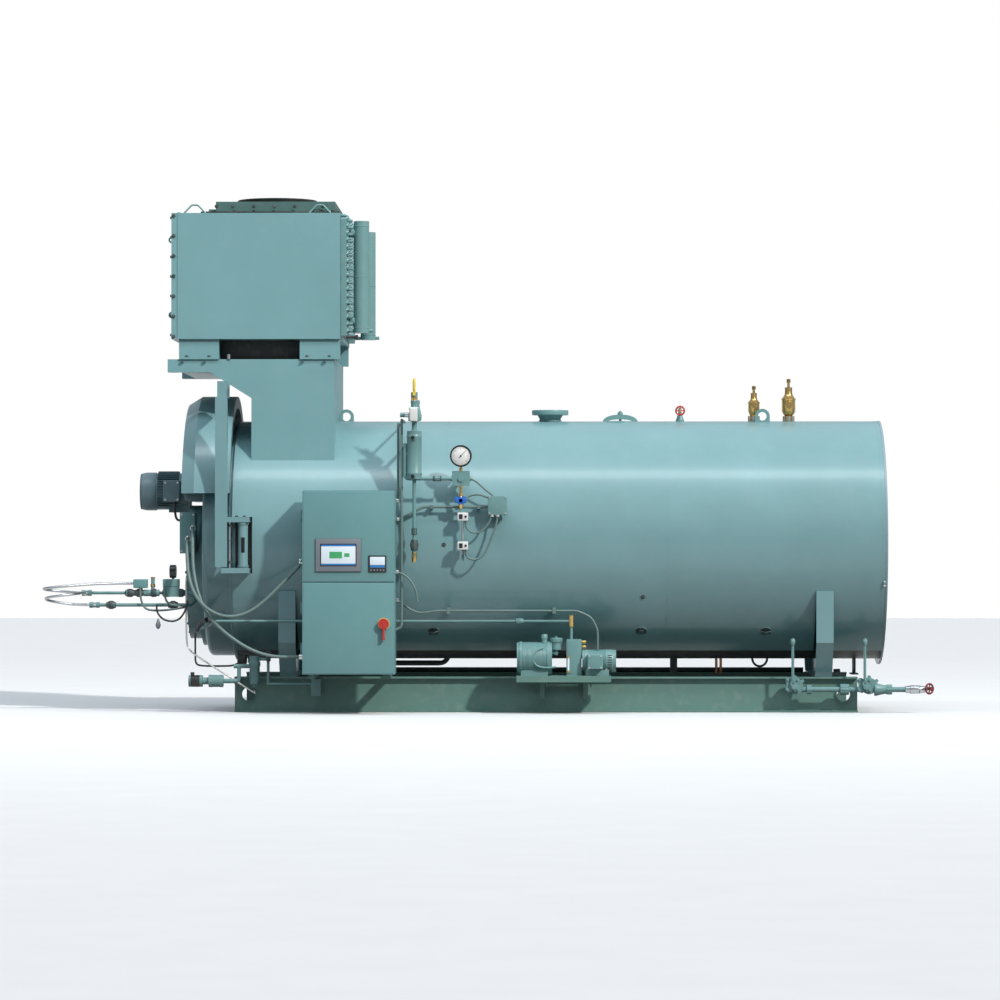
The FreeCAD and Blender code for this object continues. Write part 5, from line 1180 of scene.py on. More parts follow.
@dataclass
class Gauge:
    """The pressure gauge, its manifold and cock, the switches and the junction box."""

    x: float = -0.866
    z: float = 2.632
    face: float = -1.390

    def dial(self) -> None:
        """A black bezel, a white dial with ticks, and a pointer.

        Each tick is a short bar from 0.80 to 0.95 of the dial's radius at its own angle.
        """
        bezel = Surface().turned([(-0.050, 0.1115), (0.004, 0.1115), (0.010, 0.108), (0.010, 0.098), (0.002,
                0.094),
                                  (0.001, 0.0005)], (self.x, self.face, self.z), steps=80, direction=Vector((0, -1, 0)))
        bezel.build("gauge_bezel", BLACK_CASE)
        dial = Surface().turned([(0.0025, 0.095), (0.0032, 0.094), (0.0032, 0.0005)], (self.x, self.face,
                self.z),
                                steps=64, direction=Vector((0, -1, 0)))
        dial.build("gauge_dial", DIAL_WHITE)
        marks = Surface()
        angle = np.radians(np.linspace(225, -45, 31))
        for index, turn in enumerate(angle):
            way = np.array([math.cos(turn), 0, math.sin(turn)])
            start = 0.066 if index % 5 == 0 else 0.074
            line = spread(np.array([self.x, self.face - 0.0036, self.z]) + way * start,
                          np.array([self.x, self.face - 0.0036, self.z]) + way * 0.084, 2)
            marks.tube(line, 0.0016 if index % 5 == 0 else 0.0009, 6)
        way = np.array([math.cos(math.radians(48)), 0, math.sin(math.radians(48))])
        hub = np.array([self.x, self.face - 0.0055, self.z])
        marks.tube(spread(hub - way * 0.025, hub + way * 0.076, 6), np.linspace(0.0036, 0.0012, 6), 8)
        marks.turned([(0.002, 0.009), (0.007, 0.009), (0.008, 0.0005)], (self.x, self.face, self.z), steps=24,
                     direction=Vector((0, -1, 0)))
        marks.build("gauge_marks", BLACK_CASE)

    def manifold(self) -> None:
        """Brass stem and cocks, and the cast manifold's nuts."""
        brass = Surface().turned([(2.476, 0.015), (2.480, 0.022), (2.500, 0.022), (2.503, 0.016), (2.522,
                0.016)],
                                 (self.x, -1.36, 0), Axis.Z, 6)
        brass.turned([(2.218, 0.016), (2.222, 0.024), (2.240, 0.024), (2.244, 0.017), (2.300, 0.016),
                (2.304, 0.022),
                      (2.326, 0.022)], (self.x, -1.36, 0), Axis.Z, 6)
        brass.turned([(2.092, 0.015), (2.096, 0.021), (2.126, 0.026), (2.150, 0.028), (2.196, 0.026),
                (2.216, 0.018)],
                     (self.x, -1.36, 0), Axis.Z, 24)
        brass.build("gauge_cocks", BRASS)
        cast = Surface()
        for x in (-0.955, -0.777):
            cast.turned([(0, 0.030), (0.018, 0.030), (0.020, 0.0005)], (x, -1.345, 2.400), steps=6,
                        direction=Vector((1 if x > -0.86 else -1, 0, 0)))
        cast.turned([(0, 0.034), (0.012, 0.034), (0.014, 0.0005)], (self.x, -1.376, 2.400), steps=6,
                    direction=Vector((0, -1, 0)))
        cast.build("manifold_plugs", FITTING_PAINT)
        handle = Surface().block((-0.926, -1.4375, 2.150), (-0.806, -1.4225, 2.200), 0.007, 4)
        handle.block((-0.890, -1.4375, 2.136), (-0.842, -1.4225, 2.214), 0.007, 4)
        handle.build("cock_handle_sleeve", BLUE, COCK)

    def switches(self) -> None:
        """White switch housings with dark windows and adjusting caps."""
        cases, windows = Surface(), Surface()
        for z in (1.972, 1.676):
            cases.block((-0.900, -1.434, z - 0.004), (-0.791, -1.362, z + 0.081), 0.008, 4)
            windows.block((-0.884, -1.4365, z + 0.014), (-0.846, -1.430, z + 0.064), 0.002)
            windows.turned([(0, 0.012), (0.006, 0.012), (0.007, 0.0005)], (-0.815, -1.434, z + 0.040),
                    steps=20,
                           direction=Vector((0, -1, 0)))
        cases.build("switch_cases", WHITE_CASE)
        windows.build("switch_windows", BLACK_CASE)
        siphon = Surface().tube(eased([(-0.846, -1.362, 1.975), (-0.846, -1.362, 1.90), (-0.846, -1.362,
                1.76)]), 0.0125)
        siphon.turned([(1.62, 0.013), (1.622, 0.021), (1.66, 0.021), (1.662, 0.013)], (-0.846, -1.360, 0),
                Axis.Z, 6)
        siphon.build("switch_siphon", BARE_STEEL)

    def junction(self) -> None:
        """The junction box's lid, screws and hub fittings."""
        lid = Surface().block((-0.590, -1.402, 2.027), (-0.392, -1.388, 2.225), 0.006)
        lid.build("junction_lid", FITTING_PAINT)
        corners = np.array([[x, -1.402, z] for x in (-0.572, -0.410) for z in (2.045, 2.207)])
        screws = Surface().bolts(corners, (0, -1, 0), 0.008)
        for x in (-0.548, -0.490):
            screws.turned([(0, 0.020), (0.010, 0.022), (0.022, 0.022), (0.024, 0.013)], (x, -1.398, 2.032),
                    steps=20,
                          direction=Vector((0, 0, -1)))
        screws.build("junction_screws", ZINC)
        links = Surface().tube(eased([(-0.775, -1.345, 2.405), (-0.70, -1.345, 2.37), (-0.62, -1.345, 2.29),
                                      (-0.53, -1.340, 2.225)]), 0.011)
        links.tube(eased([(-0.800, -1.350, 2.215), (-0.73, -1.350, 2.240), (-0.66, -1.350, 2.236),
                          (-0.582, -1.345, 2.205)]), 0.011)
        links.build("gauge_links", CONDUIT)

    def build(self) -> None:
        """Finish the gauge group and add its parts."""
        dress("pressure_gauge door_displays", BLACK_CASE)
        dress("gauge_manifold", FITTING_PAINT, 0.004)
        dress("gauge_cock_handle", BLUE, 0.003)
        dress("pressure_switches", WHITE_CASE, 0.004)
        dress("control_junction_box", FITTING_PAINT, 0.004)
        dress("rigid_conduits", CONDUIT)
        self.dial()
        self.manifold()
        self.switches()
        self.junction()


@dataclass
class Compressor:
    """The atomizing air compressor, its motor and oil tank on the tray."""

    y: float = -1.295
    drum_z: float = 0.563
    motor_z: float = 0.538

    def drum(self) -> None:
        """A ribbed drum with bolted end plates and a domed cap."""
        ribs = Surface()
        profile = [(0.0, 0.0005), (0.0, 0.120), (0.008, 0.150), (0.020, 0.166), (0.026, 0.1735), (0.052,
                0.1735), (0.056, 0.1650)]
        middle = [(0.056 + 0.0125 * k + d, r) for k in range(20) for d, r in ((0.001, 0.1645), (0.0055,
                0.1690), (0.0075, 0.1690))]
        tail = [(0.306, 0.1650), (0.308, 0.1735), (0.336, 0.1735), (0.344, 0.160), (0.356, 0.130), (0.358,
                0.0005)]
        ribs.turned(profile + middle + tail, (-0.293, self.y, self.drum_z), Axis.X, 72)
        ribs.build("compressor_drum", FITTING_PAINT)
        heads = Surface().bolts(circle((-0.266, self.y, self.drum_z), 0.150, 10, Axis.X), (-1, 0, 0), 0.011)
        heads.build("compressor_bolts", DARK_IRON)

    def intake(self) -> None:
        """The filter's cap and body, its pipe, and the formed hose loop."""
        cap = Surface().turned([(0.655, 0.030), (0.660, 0.0545), (0.728, 0.0545), (0.730, 0.064), (0.736,
                0.0665),
                                (0.766, 0.0665), (0.774, 0.058), (0.776, 0.012), (0.790, 0.012), (0.791, 0.0005)],
                               (0.107, self.y, 0), Axis.Z, 48)
        cap.build("intake_filter", FITTING_PAINT)
        pipe = Surface().tube(eased([(-0.013, -1.335, 0.66), (-0.013, -1.335, 0.72), (-0.013, -1.335, 0.77),
                                     ]), 0.0285, 20)
        pipe.turned([(0.762, 0.030), (0.766, 0.034), (0.800, 0.034), (0.812, 0.026), (0.813, 0.0005)],
                (-0.013, -1.335, 0),
                    Axis.Z, 8)
        pipe.build("intake_pipe", FITTING_PAINT)
        loop = Surface().tube(eased([(-0.030, -1.43, 0.673), (-0.085, -1.445, 0.655), (-0.125, -1.450, 0.600),
                                     (-0.126, -1.452, 0.530), (-0.085, -1.452, 0.484), (0.0, -1.450, 0.468),
                                     (0.106, -1.440, 0.479)]), 0.011, 14)
        loop.build("compressor_loop", FITTING_PAINT)

    def tank(self) -> None:
        """The square oil tank's rounded case, raised front plate and sight glass, which glows with the screen finish as
        a painted highlight.
        """
        dome = Surface().block((0.2125, self.y - 0.0775, 0.392), (0.3675, self.y + 0.0775, 0.761), 0.012, 5)
        dome.block((0.226, self.y - 0.0795, 0.410), (0.354, self.y - 0.0770, 0.744), 0.001)
        dome.build("tank_shell", FITTING_PAINT)
        glass = Surface().tube(spread((0.232, self.y - 0.076, 0.430), (0.232, self.y - 0.076, 0.580), 4),
                0.011, 16)
        # Painted highlight: the sight glass glows though no lamp lights it.
        glass.build("tank_glass", SCREEN_LIT_AND_GLASS_GLOW)
        ends = Surface()
        for z in (0.418, 0.570):
            ends.turned([(z, 0.012), (z + 0.003, 0.018), (z + 0.021, 0.018), (z + 0.024, 0.012)],
                        (0.232, self.y - 0.076, 0), Axis.Z, 6)
        ends.turned([(0.885, 0.018), (0.888, 0.026), (1.003, 0.026), (1.006, 0.018)], (0.262, self.y, 0),
                Axis.Z, 8)
        for z in (0.730, 0.680):
            ends.turned([(0, 0.013), (0.016, 0.019), (0.050, 0.019), (0.054, 0.0005)], (0.362, self.y, z),
                    Axis.X, 6)
        ends.build("tank_fittings", BRASS)

    def motor(self) -> None:
        """A ribbed motor with a slotted end bell, a terminal box lid and feet bolts."""
        ribs = [(0.060 + 0.011 * k + d, r) for k in range(17) for d, r in ((0.0005, 0.1135), (0.0035,
                0.1185), (0.0060, 0.1185))]
        case = Surface().turned([(0.0, 0.0005), (0.0, 0.070), (0.010, 0.102), (0.026, 0.116), (0.056,
                0.116)] + ribs
                                + [(0.252, 0.117), (0.310, 0.117), (0.335, 0.104), (0.346, 0.070), (0.347,
                                        0.0005)],
                                (0.374, self.y, self.motor_z), Axis.X, 72)
        case.build("compressor_motor_case", FITTING_PAINT)
        vents = Surface()
        for turn in np.radians(np.arange(150, 290, 12)):
            way = np.array([0, math.cos(turn), math.sin(turn)])
            middle = np.array([0.655, self.y, self.motor_z]) + way * 0.1165
            vents.tube(spread(middle - [0.022, 0, 0], middle + [0.022, 0, 0], 3), 0.0045, 8)
        vents.build("compressor_motor_vents", BLACK_STEEL)
        low = np.array([0.425, self.y - 0.196, 0.454])
        lid = Surface().block(low, low + [0.158, 0.026, 0.154], 0.010, 4)
        lid.build("compressor_terminal_lid", FITTING_PAINT)
        corners = low + np.array([[0.018, 0, 0.018], [0.140, 0, 0.018], [0.018, 0, 0.136], [0.140, 0, 0.136]])
        screws = Surface().bolts(corners, (0, -1, 0), 0.008)
        screws.bolts(np.array([[x, self.y - 0.085, 0.449] for x in (0.43, 0.62)]), (0, 0, 1), 0.012)
        screws.build("compressor_motor_screws", ZINC)

    def build(self) -> None:
        """Finish the compressor set and add its parts."""
        dress("compressor_tray", FRAME_PAINT, 0.003)
        dress("air_compressor air_oil_tank air_line", FITTING_PAINT, 0.003)
        dress("compressor_motor", FITTING_PAINT, 0.003)
        self.drum()
        self.intake()
        self.tank()
        self.motor()
        union = Surface().turned([(-0.010, 0.016), (-0.006, 0.024), (0.016, 0.030), (0.050, 0.030), (0.070,
                0.024),
                                  (0.076, 0.016)], (-0.300, -1.290, 0.943), Axis.X, 8)
        union.build("air_union", FITTING_PAINT)


@dataclass
class Blowdown:
    """Two quick-opening valves, the slow-opening valve and the pipe between them."""

    y: float = -1.050
    z: float = 0.239

    def valve(self, surface: Surface, x: float, z: float) -> None:
        """A lobed, bolted bonnet plate: radius r = a + b * cos(4 t) about its centre.

        Args:
            surface: the surface to add to.
            x: centre of the bonnet.
            z: height of the bonnet.
        """
        turn = np.linspace(0, 2 * np.pi, 64, endpoint=False)
        lobes = 0.078 + 0.016 * np.cos(4 * turn - np.pi)
        depth = np.array([0.000, 0.000, 0.004, 0.020, 0.022])
        scale = np.array([0.001, 0.96, 1.0, 1.0, 0.9])
        points = np.stack([x + (scale[:, None] * lobes[None]) * np.cos(turn)[None],
                           np.broadcast_to(self.y - 0.066 + depth[:, None], (5, 64)),
                           z + (scale[:, None] * lobes[None]) * np.sin(turn)[None]], axis=-1)
        surface.add(points, grid_faces(5, 64, True))
        surface.bolts(circle((x, self.y - 0.066, z), 0.072, 4, Axis.Y, 45), (0, -1, 0), 0.013)
        surface.turned([(-0.004, 0.030), (0.026, 0.030), (0.032, 0.024), (0.034, 0.0005)], (x + 0.012,
                self.y - 0.066, z - 0.02),
                       steps=32, direction=Vector((0, -1, 0)))

    def levers(self) -> None:
        """Flat quick-opening levers with round knobs."""
        for x, body, name in ((2.533, LEVER_FRONT, "front"), (3.271, LEVER_REAR, "rear")):
            knob = Surface().turned([(0.690, 0.0130), (0.700, 0.020), (0.725, 0.0265), (0.750, 0.0240),
                    (0.764, 0.012),
                                     (0.766, 0.0005)], (x, -1.141, 0), Axis.Z, 32)
            knob.build("lever_knob_" + name, FITTING_PAINT, body)
            grip = Surface().tube(spread((x, -1.141, 0.330), (x, -1.141, 0.700), 4), np.array([0.013, 0.012,
                    0.011, 0.013]), 14)
            grip.build("lever_bar_" + name, FITTING_PAINT, body)

    def slow_valve(self) -> None:
        """The bare-steel valve body with a ring of bolts, and the unions along the blowdown pipe."""
        body = Surface().turned([(-0.006, 0.026), (0.0, 0.036), (0.036, 0.037), (0.044, 0.041), (0.060,
                0.0435), (0.125, 0.0435),
                                 (0.145, 0.041), (0.155, 0.037), (0.195, 0.036), (0.200, 0.026)],
                                (3.694, self.y, self.z), Axis.X, 40)
        body.bolts(circle((3.700, self.y, self.z), 0.030, 6, Axis.X), (-1, 0, 0), 0.007)
        body.build("slow_valve_body", BARE_STEEL)
        joints = Surface().turned([(0, 0.030), (0.004, 0.054), (0.030, 0.057), (0.058, 0.057), (0.084,
                0.054), (0.088, 0.030)],
                                  (3.025, self.y, self.z), Axis.X, 8)
        joints.turned([(0, 0.064), (0.012, 0.067), (0.024, 0.064), (0.100, 0.046), (0.123, 0.046), (0.126,
                0.030)],
                      (3.375, self.y, self.z), Axis.X, 32)
        joints.turned([(0, 0.030), (0.002, 0.052), (0.056, 0.052), (0.058, 0.030)], (3.498, self.y, self.z),
                Axis.X, 8)
        joints.turned([(0, 0.030), (0.002, 0.050), (0.050, 0.050), (0.052, 0.030)], (2.680, self.y, self.z),
                Axis.X, 8)
        joints.build("blowdown_unions", FITTING_PAINT)

    def build(self) -> None:
        """Finish the blowdown line and add its parts."""
        dress("blowdown_piping blowdown_lever_front blowdown_lever_rear", FITTING_PAINT, 0.003)
        dress("blowdown_handwheel", DULL_RED, 0.002)
        plates = Surface()
        self.valve(plates, 2.533, 0.285)
        self.valve(plates, 3.271, 0.285)
        plates.build("blowdown_bonnets", FITTING_PAINT)
        self.levers()
        self.slow_valve()


@dataclass
class Top:
    """Fittings on the crown of the shell."""

    jacket_top: float = 3.023

    def steam(self) -> None:
        """A raised face and rim on the steam flange, and the weld at its foot."""
        face = Surface().turned([(-0.0005, 0.1905), (-0.002, 0.188), (0.0, 0.135), (0.0016, 0.134), (0.0016,
                0.100),
                                 (-0.004, 0.0955)], (0.044, 0, 3.140), Axis.Z, 96)
        face.build("steam_flange_face", BARE_STEEL)
        rim = Surface().turned([(-0.0495, 0.1906), (-0.0475, 0.1915), (-0.0025, 0.1915), (-0.0005, 0.1906)],
                               (0.044, 0, 3.140), Axis.Z, 96)
        rim.build("steam_flange_rim", FITTING_PAINT)
        weld = Surface().turned([(0, 0.1225), (0.010, 0.1190), (0.016, 0.1125)], (0.044, 0, 3.022), Axis.Z,
                60)
        weld.build("steam_weld", FITTING_PAINT)

    def manway(self) -> None:
        """The manway's low cover and its single arched bridge with a nut.

        The bridge's middle line is x = half * cos(t), z = foot + rise * sin(t), t from 0 to pi.
        """
        cover = Surface().turned([(-0.020, 0.205), (-0.014, 0.207), (-0.004, 0.204), (0.000, 0.186), (0.004,
                0.110),
                                  (0.006, 0.0005)], (0.781, 0, 3.023), Axis.Z, 80)
        cover.build("manway_cover", FITTING_PAINT)
        turn = np.linspace(0, np.pi, 40)
        bridge = Surface()
        line = np.stack([0.781 - 0.170 * np.cos(turn), np.zeros(40), 3.006 + 0.074 * np.sin(turn) ** 0.8],
                axis=-1)
        bridge.tube(line, 0.0165, 14)
        bridge.turned([(0, 0.032), (0.018, 0.032), (0.022, 0.026), (0.034, 0.014), (0.050, 0.014), (0.052,
                0.0005)],
                      (0.781, 0, 3.084), Axis.Z, 6)
        bridge.build("manway_yoke", FITTING_PAINT)

    def vent(self) -> None:
        """The vent valve's cone and bonnet, and a red wheel with a brass hub."""
        cast = Surface().turned([(3.022, 0.0445), (3.030, 0.0455), (3.045, 0.040), (3.075, 0.030), (3.092,
                0.024),
                                 (3.100, 0.020), (3.150, 0.018), (3.158, 0.022), (3.168, 0.0005)], (1.409, 0, 0), Axis.Z, 48)
        cast.build("vent_body", FITTING_PAINT)
        wheel = Surface()
        turn = np.linspace(0, 2 * np.pi, 49)
        rim = np.stack([1.409 + 0.044 * np.cos(turn), np.full(49, -0.095), 3.133 + 0.044 * np.sin(turn)],
                axis=-1)
        wheel.tube(rim, 0.0095, 12)
        wheel.build("vent_wheel_rim", RED_HANDLE, VENT)
        hub = Surface().turned([(0, 0.018), (0.010, 0.018), (0.013, 0.008), (0.014, 0.0005)], (1.409,
                -0.099, 3.133), steps=6,
                               direction=Vector((0, -1, 0)))
        hub.build("vent_wheel_hub", BRASS, VENT)

    def safety(self) -> None:
        """Turned bronze safety valves: an inlet hexagon, a waisted body, a thin stem and a ball on top."""
        bronze, black, inlet = Surface(), Surface(), Surface()
        for x, waist, height, outlet in ((2.186, 0.058, 0.373, 0.038), (2.551, 0.070, 0.447, 0.044)):
            foot = self.jacket_top
            middle = height * 0.52
            bronze.turned([(0.054, 0.030), (0.058, 0.040), (0.084, waist * 0.88), (0.110, waist * 1.02),
                           (middle - 0.012, waist * 1.02), (middle - 0.006, waist * 1.08), (middle + 0.008,
                                   waist * 1.08),
                           (middle + 0.012, waist * 0.92), (height * 0.62, waist * 0.62), (height * 0.64,
                                   waist * 0.57),
                           (height * 0.78, waist * 0.53), (height * 0.80, 0.014), (height * 0.93, 0.0125)],
                          (x, 0, foot), Axis.Z, 56)
            inlet.turned([(0, 0.061), (0.004, 0.063), (0.052, 0.063), (0.056, 0.057)], (x, 0, foot), Axis.Z,
                    6)
            knob = np.linspace(-1.35, np.pi / 2, 14)
            black.turned([(height - 0.021 + 0.021 * math.sin(t), max(0.0005,
                    0.021 * math.cos(t))) for t in knob],
                         (x, 0, foot), Axis.Z, 28)
            bronze.turned([(-0.02, outlet * 0.98), (0.005, outlet * 1.04), (0.018, outlet * 1.04), (0.020,
                    outlet * 0.80),
                           (-0.02, outlet * 0.72)], (x, -waist - 0.002, foot + 0.165), steps=40,
                          direction=Vector((0, -1, 0)))
        bronze.build("safety_bodies", BRASS)
        black.build("safety_knobs", BLACK_CASE)
        inlet.build("safety_inlets", ZINC)

    def build(self) -> None:
        """Finish the crown fittings."""
        dress("steam_nozzle manway top_vent_valve", FITTING_PAINT, 0.002)
        dress("safety_valves", BRASS, 0.002)
        dress("vent_handwheel", RED_HANDLE)
        self.steam()
        self.manway()
        self.vent()
        self.safety()


@dataclass
class FuelTrain:
    """Oil pipes, valves, gauge and formed leads before the burner, and the gas train below."""

    y: float = -0.900
    high: float = 1.228
    low: float = 1.104

    def couplings(self) -> None:
        """Hose crimps, unions and dark valve bodies on the two pipes."""
        steel = Surface()
        for x, z, turn in ((-4.795, self.high, 1), (-4.712, self.low, 1)):
            steel.turned([(-0.002, 0.015), (0.0, 0.026), (0.040, 0.026), (0.042, 0.033), (0.070, 0.033),
                    (0.072, 0.026),
                          (0.100, 0.026), (0.106, 0.018)], (x, self.y, z), Axis.X, 6 if turn else 20)
        steel.turned([(0, 0.015), (0.001, 0.024), (0.030, 0.024), (0.034, 0.020)], (-4.755, self.y - 0.062,
                self.high),
                     steps=6, direction=Vector((0, 1, 0)))
        steel.build("hose_ends", ZINC)
        iron = Surface()
        profile = [(0, 0.018), (0.002, 0.030), (0.020, 0.032), (0.030, 0.042), (0.052, 0.044), (0.074,
                0.042), (0.084, 0.032),
                   (0.100, 0.030), (0.102, 0.018)]
        for x, z in ((-4.345, self.high), (-4.250, self.high), (-4.100, self.high), (-3.960, self.high),
                (-3.82, self.high),
                     (-4.540, self.low), (-3.90, self.low)):
            iron.turned(profile, (x, self.y, z), Axis.X, 16)
        iron.build("fuel_valves", DARK_IRON)

    def solenoid(self) -> None:
        """The coil box, the brass-topped stem, the second box and the black pressure dial."""
        case = Surface().block((-4.256, self.y - 0.054, self.high + 0.055), (-4.112, self.y + 0.054,
                self.high + 0.142), 0.008)
        case.build("fuel_coil", CABINET_PAINT)
        second = Surface().block((-3.952, self.y - 0.050, self.high + 0.062), (-3.782, self.y + 0.050,
                self.high + 0.144), 0.010)
        second.build("fuel_regulator", FITTING_PAINT)
        stem = Surface().turned([(0.060, 0.016), (0.064, 0.024), (0.090, 0.024), (0.094, 0.018), (0.150,
                0.018), (0.154, 0.024),
                                 (0.164, 0.022), (0.166, 0.0005)], (-4.057, self.y, self.high), Axis.Z, 12)
        stem.build("fuel_stem", BRASS)
        dial = Surface().turned([(-0.003, 0.0005), (-0.003, 0.058), (0.001, 0.0675), (0.058, 0.0675),
                (0.064, 0.060),
                                 (0.064, 0.0005)], (-3.880, self.y, self.high + 0.222), Axis.X, 56)
        dial.build("fuel_dial", BLACK_CASE)

    def leads(self) -> None:
        """Formed leads from each box down and across to the burner, and a hanging grey tag."""
        leads = Surface()
        runs = ([(-4.184, 1.290), (-4.184, 1.190), (-4.150, 1.080), (-4.080, 1.045), (-3.900, 1.050),
                (-3.690, 1.085)],
                [(-3.930, 1.290), (-3.930, 1.190), (-3.900, 1.120), (-3.820, 1.095), (-3.690, 1.110)])
        for index, run in enumerate(runs):
            leads.tube(eased([(x, self.y - 0.052 - 0.012 * index, z) for x, z in run]), 0.011, 14)
        leads.build("fuel_leads", CONDUIT)
        loop = [(-4.010, 1.110), (-4.010, 1.030), (-3.950, 0.955), (-3.850, 0.930), (-3.770, 0.960),
                (-3.715, 1.040),
                (-3.690, 1.150)]
        black = Surface().tube(eased([(x, self.y - 0.085, z) for x, z in loop]), 0.010, 14)
        black.build("fuel_cable_loop", BLACK_STEEL)
        tag = Surface().turned([(-0.110, 0.0005), (-0.108, 0.010), (-0.085, 0.024), (-0.060, 0.026),
                (-0.030, 0.016),
                                (0.0, 0.006)], (-3.995, self.y - 0.085, 0.965), Axis.Z, 24)
        tag.build("fuel_drip_tag", GREY_BEZEL)

    def thin_tubes(self) -> None:
        """The thin bare tubes that run down the burner's side to the floor level."""
        dark = Surface().tube(eased([(-3.622, -0.86, 0.815), (-3.622, -0.86, 0.60), (-3.620, -0.86, 0.50),
                                     (-3.570, -0.86, 0.472), (-3.30, -0.86, 0.472), (-3.225, -0.86, 0.478),
                                     (-3.160, -0.86, 0.512)]), 0.010, 14)
        dark.build("drain_tube", BLACK_STEEL)
        pale = Surface().tube(eased([(-3.708, -0.83, 1.414), (-3.710, -0.95, 1.38), (-3.708, -0.96, 1.10),
                                     (-3.706, -0.96, 0.75), (-3.69, -0.96, 0.64), (-3.50, -0.98, 0.515),
                                     (-2.99, -0.99, 0.195)]), 0.009, 14)
        pale.build("sensing_tube", ZINC)
        elbow = Surface().tube(eased([(-3.480, -1.12, 0.955), (-3.515, -1.08, 0.948), (-3.560, -1.02, 0.910),
                                      (-3.600, -0.95, 0.850)]), 0.026, 18)
        elbow.turned([(0, 0.020), (0.003, 0.036), (0.036, 0.036), (0.040, 0.020)], (-3.470, -1.13, 0.955),
                Axis.X, 6)
        elbow.build("air_elbow", DARK_IRON)

    def gas(self) -> None:
        """The gas valve's actuator, yoke, body, filter bowl, ring and outlet valve."""
        y = -0.990
        black = Surface().turned([(0, 0.0005), (0, 0.040), (0.010, 0.058), (0.030, 0.061), (0.110, 0.061),
                (0.134, 0.056),
                                  (0.144, 0.036)], (-3.678, y, 0.322), Axis.X, 40)
        black.turned([(0.0, 0.0005), (0.002, 0.020), (0.030, 0.022), (0.034, 0.0005)], (-3.640, y, 0.380),
                Axis.Z, 20)
        black.build("gas_actuator", BLACK_STEEL)
        yoke = Surface()
        for rise in (-0.028, 0.028):
            yoke.tube(spread((-3.536, y, 0.322 + rise), (-3.470, y, 0.322 + rise), 3), 0.008, 12)
        yoke.turned([(0, 0.011), (0.062, 0.011)], (-3.534, y, 0.322), Axis.X, 16)
        yoke.build("gas_valve_yoke", BARE_STEEL)
        body = Surface().turned([(0, 0.040), (0.004, 0.063), (0.030, 0.065), (0.050, 0.056), (0.100, 0.056),
                (0.120, 0.065),
                                 (0.147, 0.063), (0.151, 0.040)], (-3.472, y, 0.322), Axis.X, 8)
        body.build("gas_valve_body", COWL_PAINT_AND_RIM_HIGHLIGHT)
        bowl = Surface().turned([(0.258, 0.0005), (0.258, 0.010), (0.276, 0.020), (0.290, 0.044), (0.330,
                0.054), (0.470, 0.054),
                                 (0.480, 0.060), (0.520, 0.060), (0.530, 0.040), (0.572, 0.034), (0.582, 0.0005)],
                                (-2.999, y, 0), Axis.Z, 40)
        bowl.build("gas_filter_bowl", FITTING_PAINT)
        eye = Surface()
        turn = np.linspace(0, 2 * np.pi, 33)
        eye.tube(np.stack([-2.859 + 0.028 * np.cos(turn), np.full(33, y - 0.012),
                0.598 + 0.028 * np.sin(turn)], axis=-1),
                 0.008, 12)
        eye.turned([(-0.006, 0.016), (0.0, 0.026), (0.060, 0.026), (0.066, 0.016)], (-2.859, y, 0.530),
                Axis.Z, 8)
        eye.build("gas_ring", DARK_IRON)
        outlet = Surface().block((-2.405, y - 0.046, 0.215), (-2.325, y + 0.026, 0.296), 0.014, 4)
        outlet.turned([(0.172, 0.026), (0.175, 0.038), (0.192, 0.040), (0.200, 0.029), (0.322, 0.029),
                (0.336, 0.024),
                       (0.338, 0.0005)], (-2.365, y - 0.01, 0), Axis.Z, 24)
        outlet.build("gas_outlet_valve", FITTING_PAINT)

    def build(self) -> None:
        """Finish the fuel and gas trains and add their parts."""
        dress("fuel_train gas_valve", FITTING_PAINT, 0.002)
        self.couplings()
        self.solenoid()
        self.leads()
        self.thin_tubes()
        self.gas()


ASSEMBLIES = (Vessel(), Frame(), Economizer(), Burner(), Davit(), Cabinet(), WaterColumn(), Gauge(),
        Compressor(),
              Blowdown(), Top(), FuelTrain())


# ---- studio --------------------------------------------------------------------------------


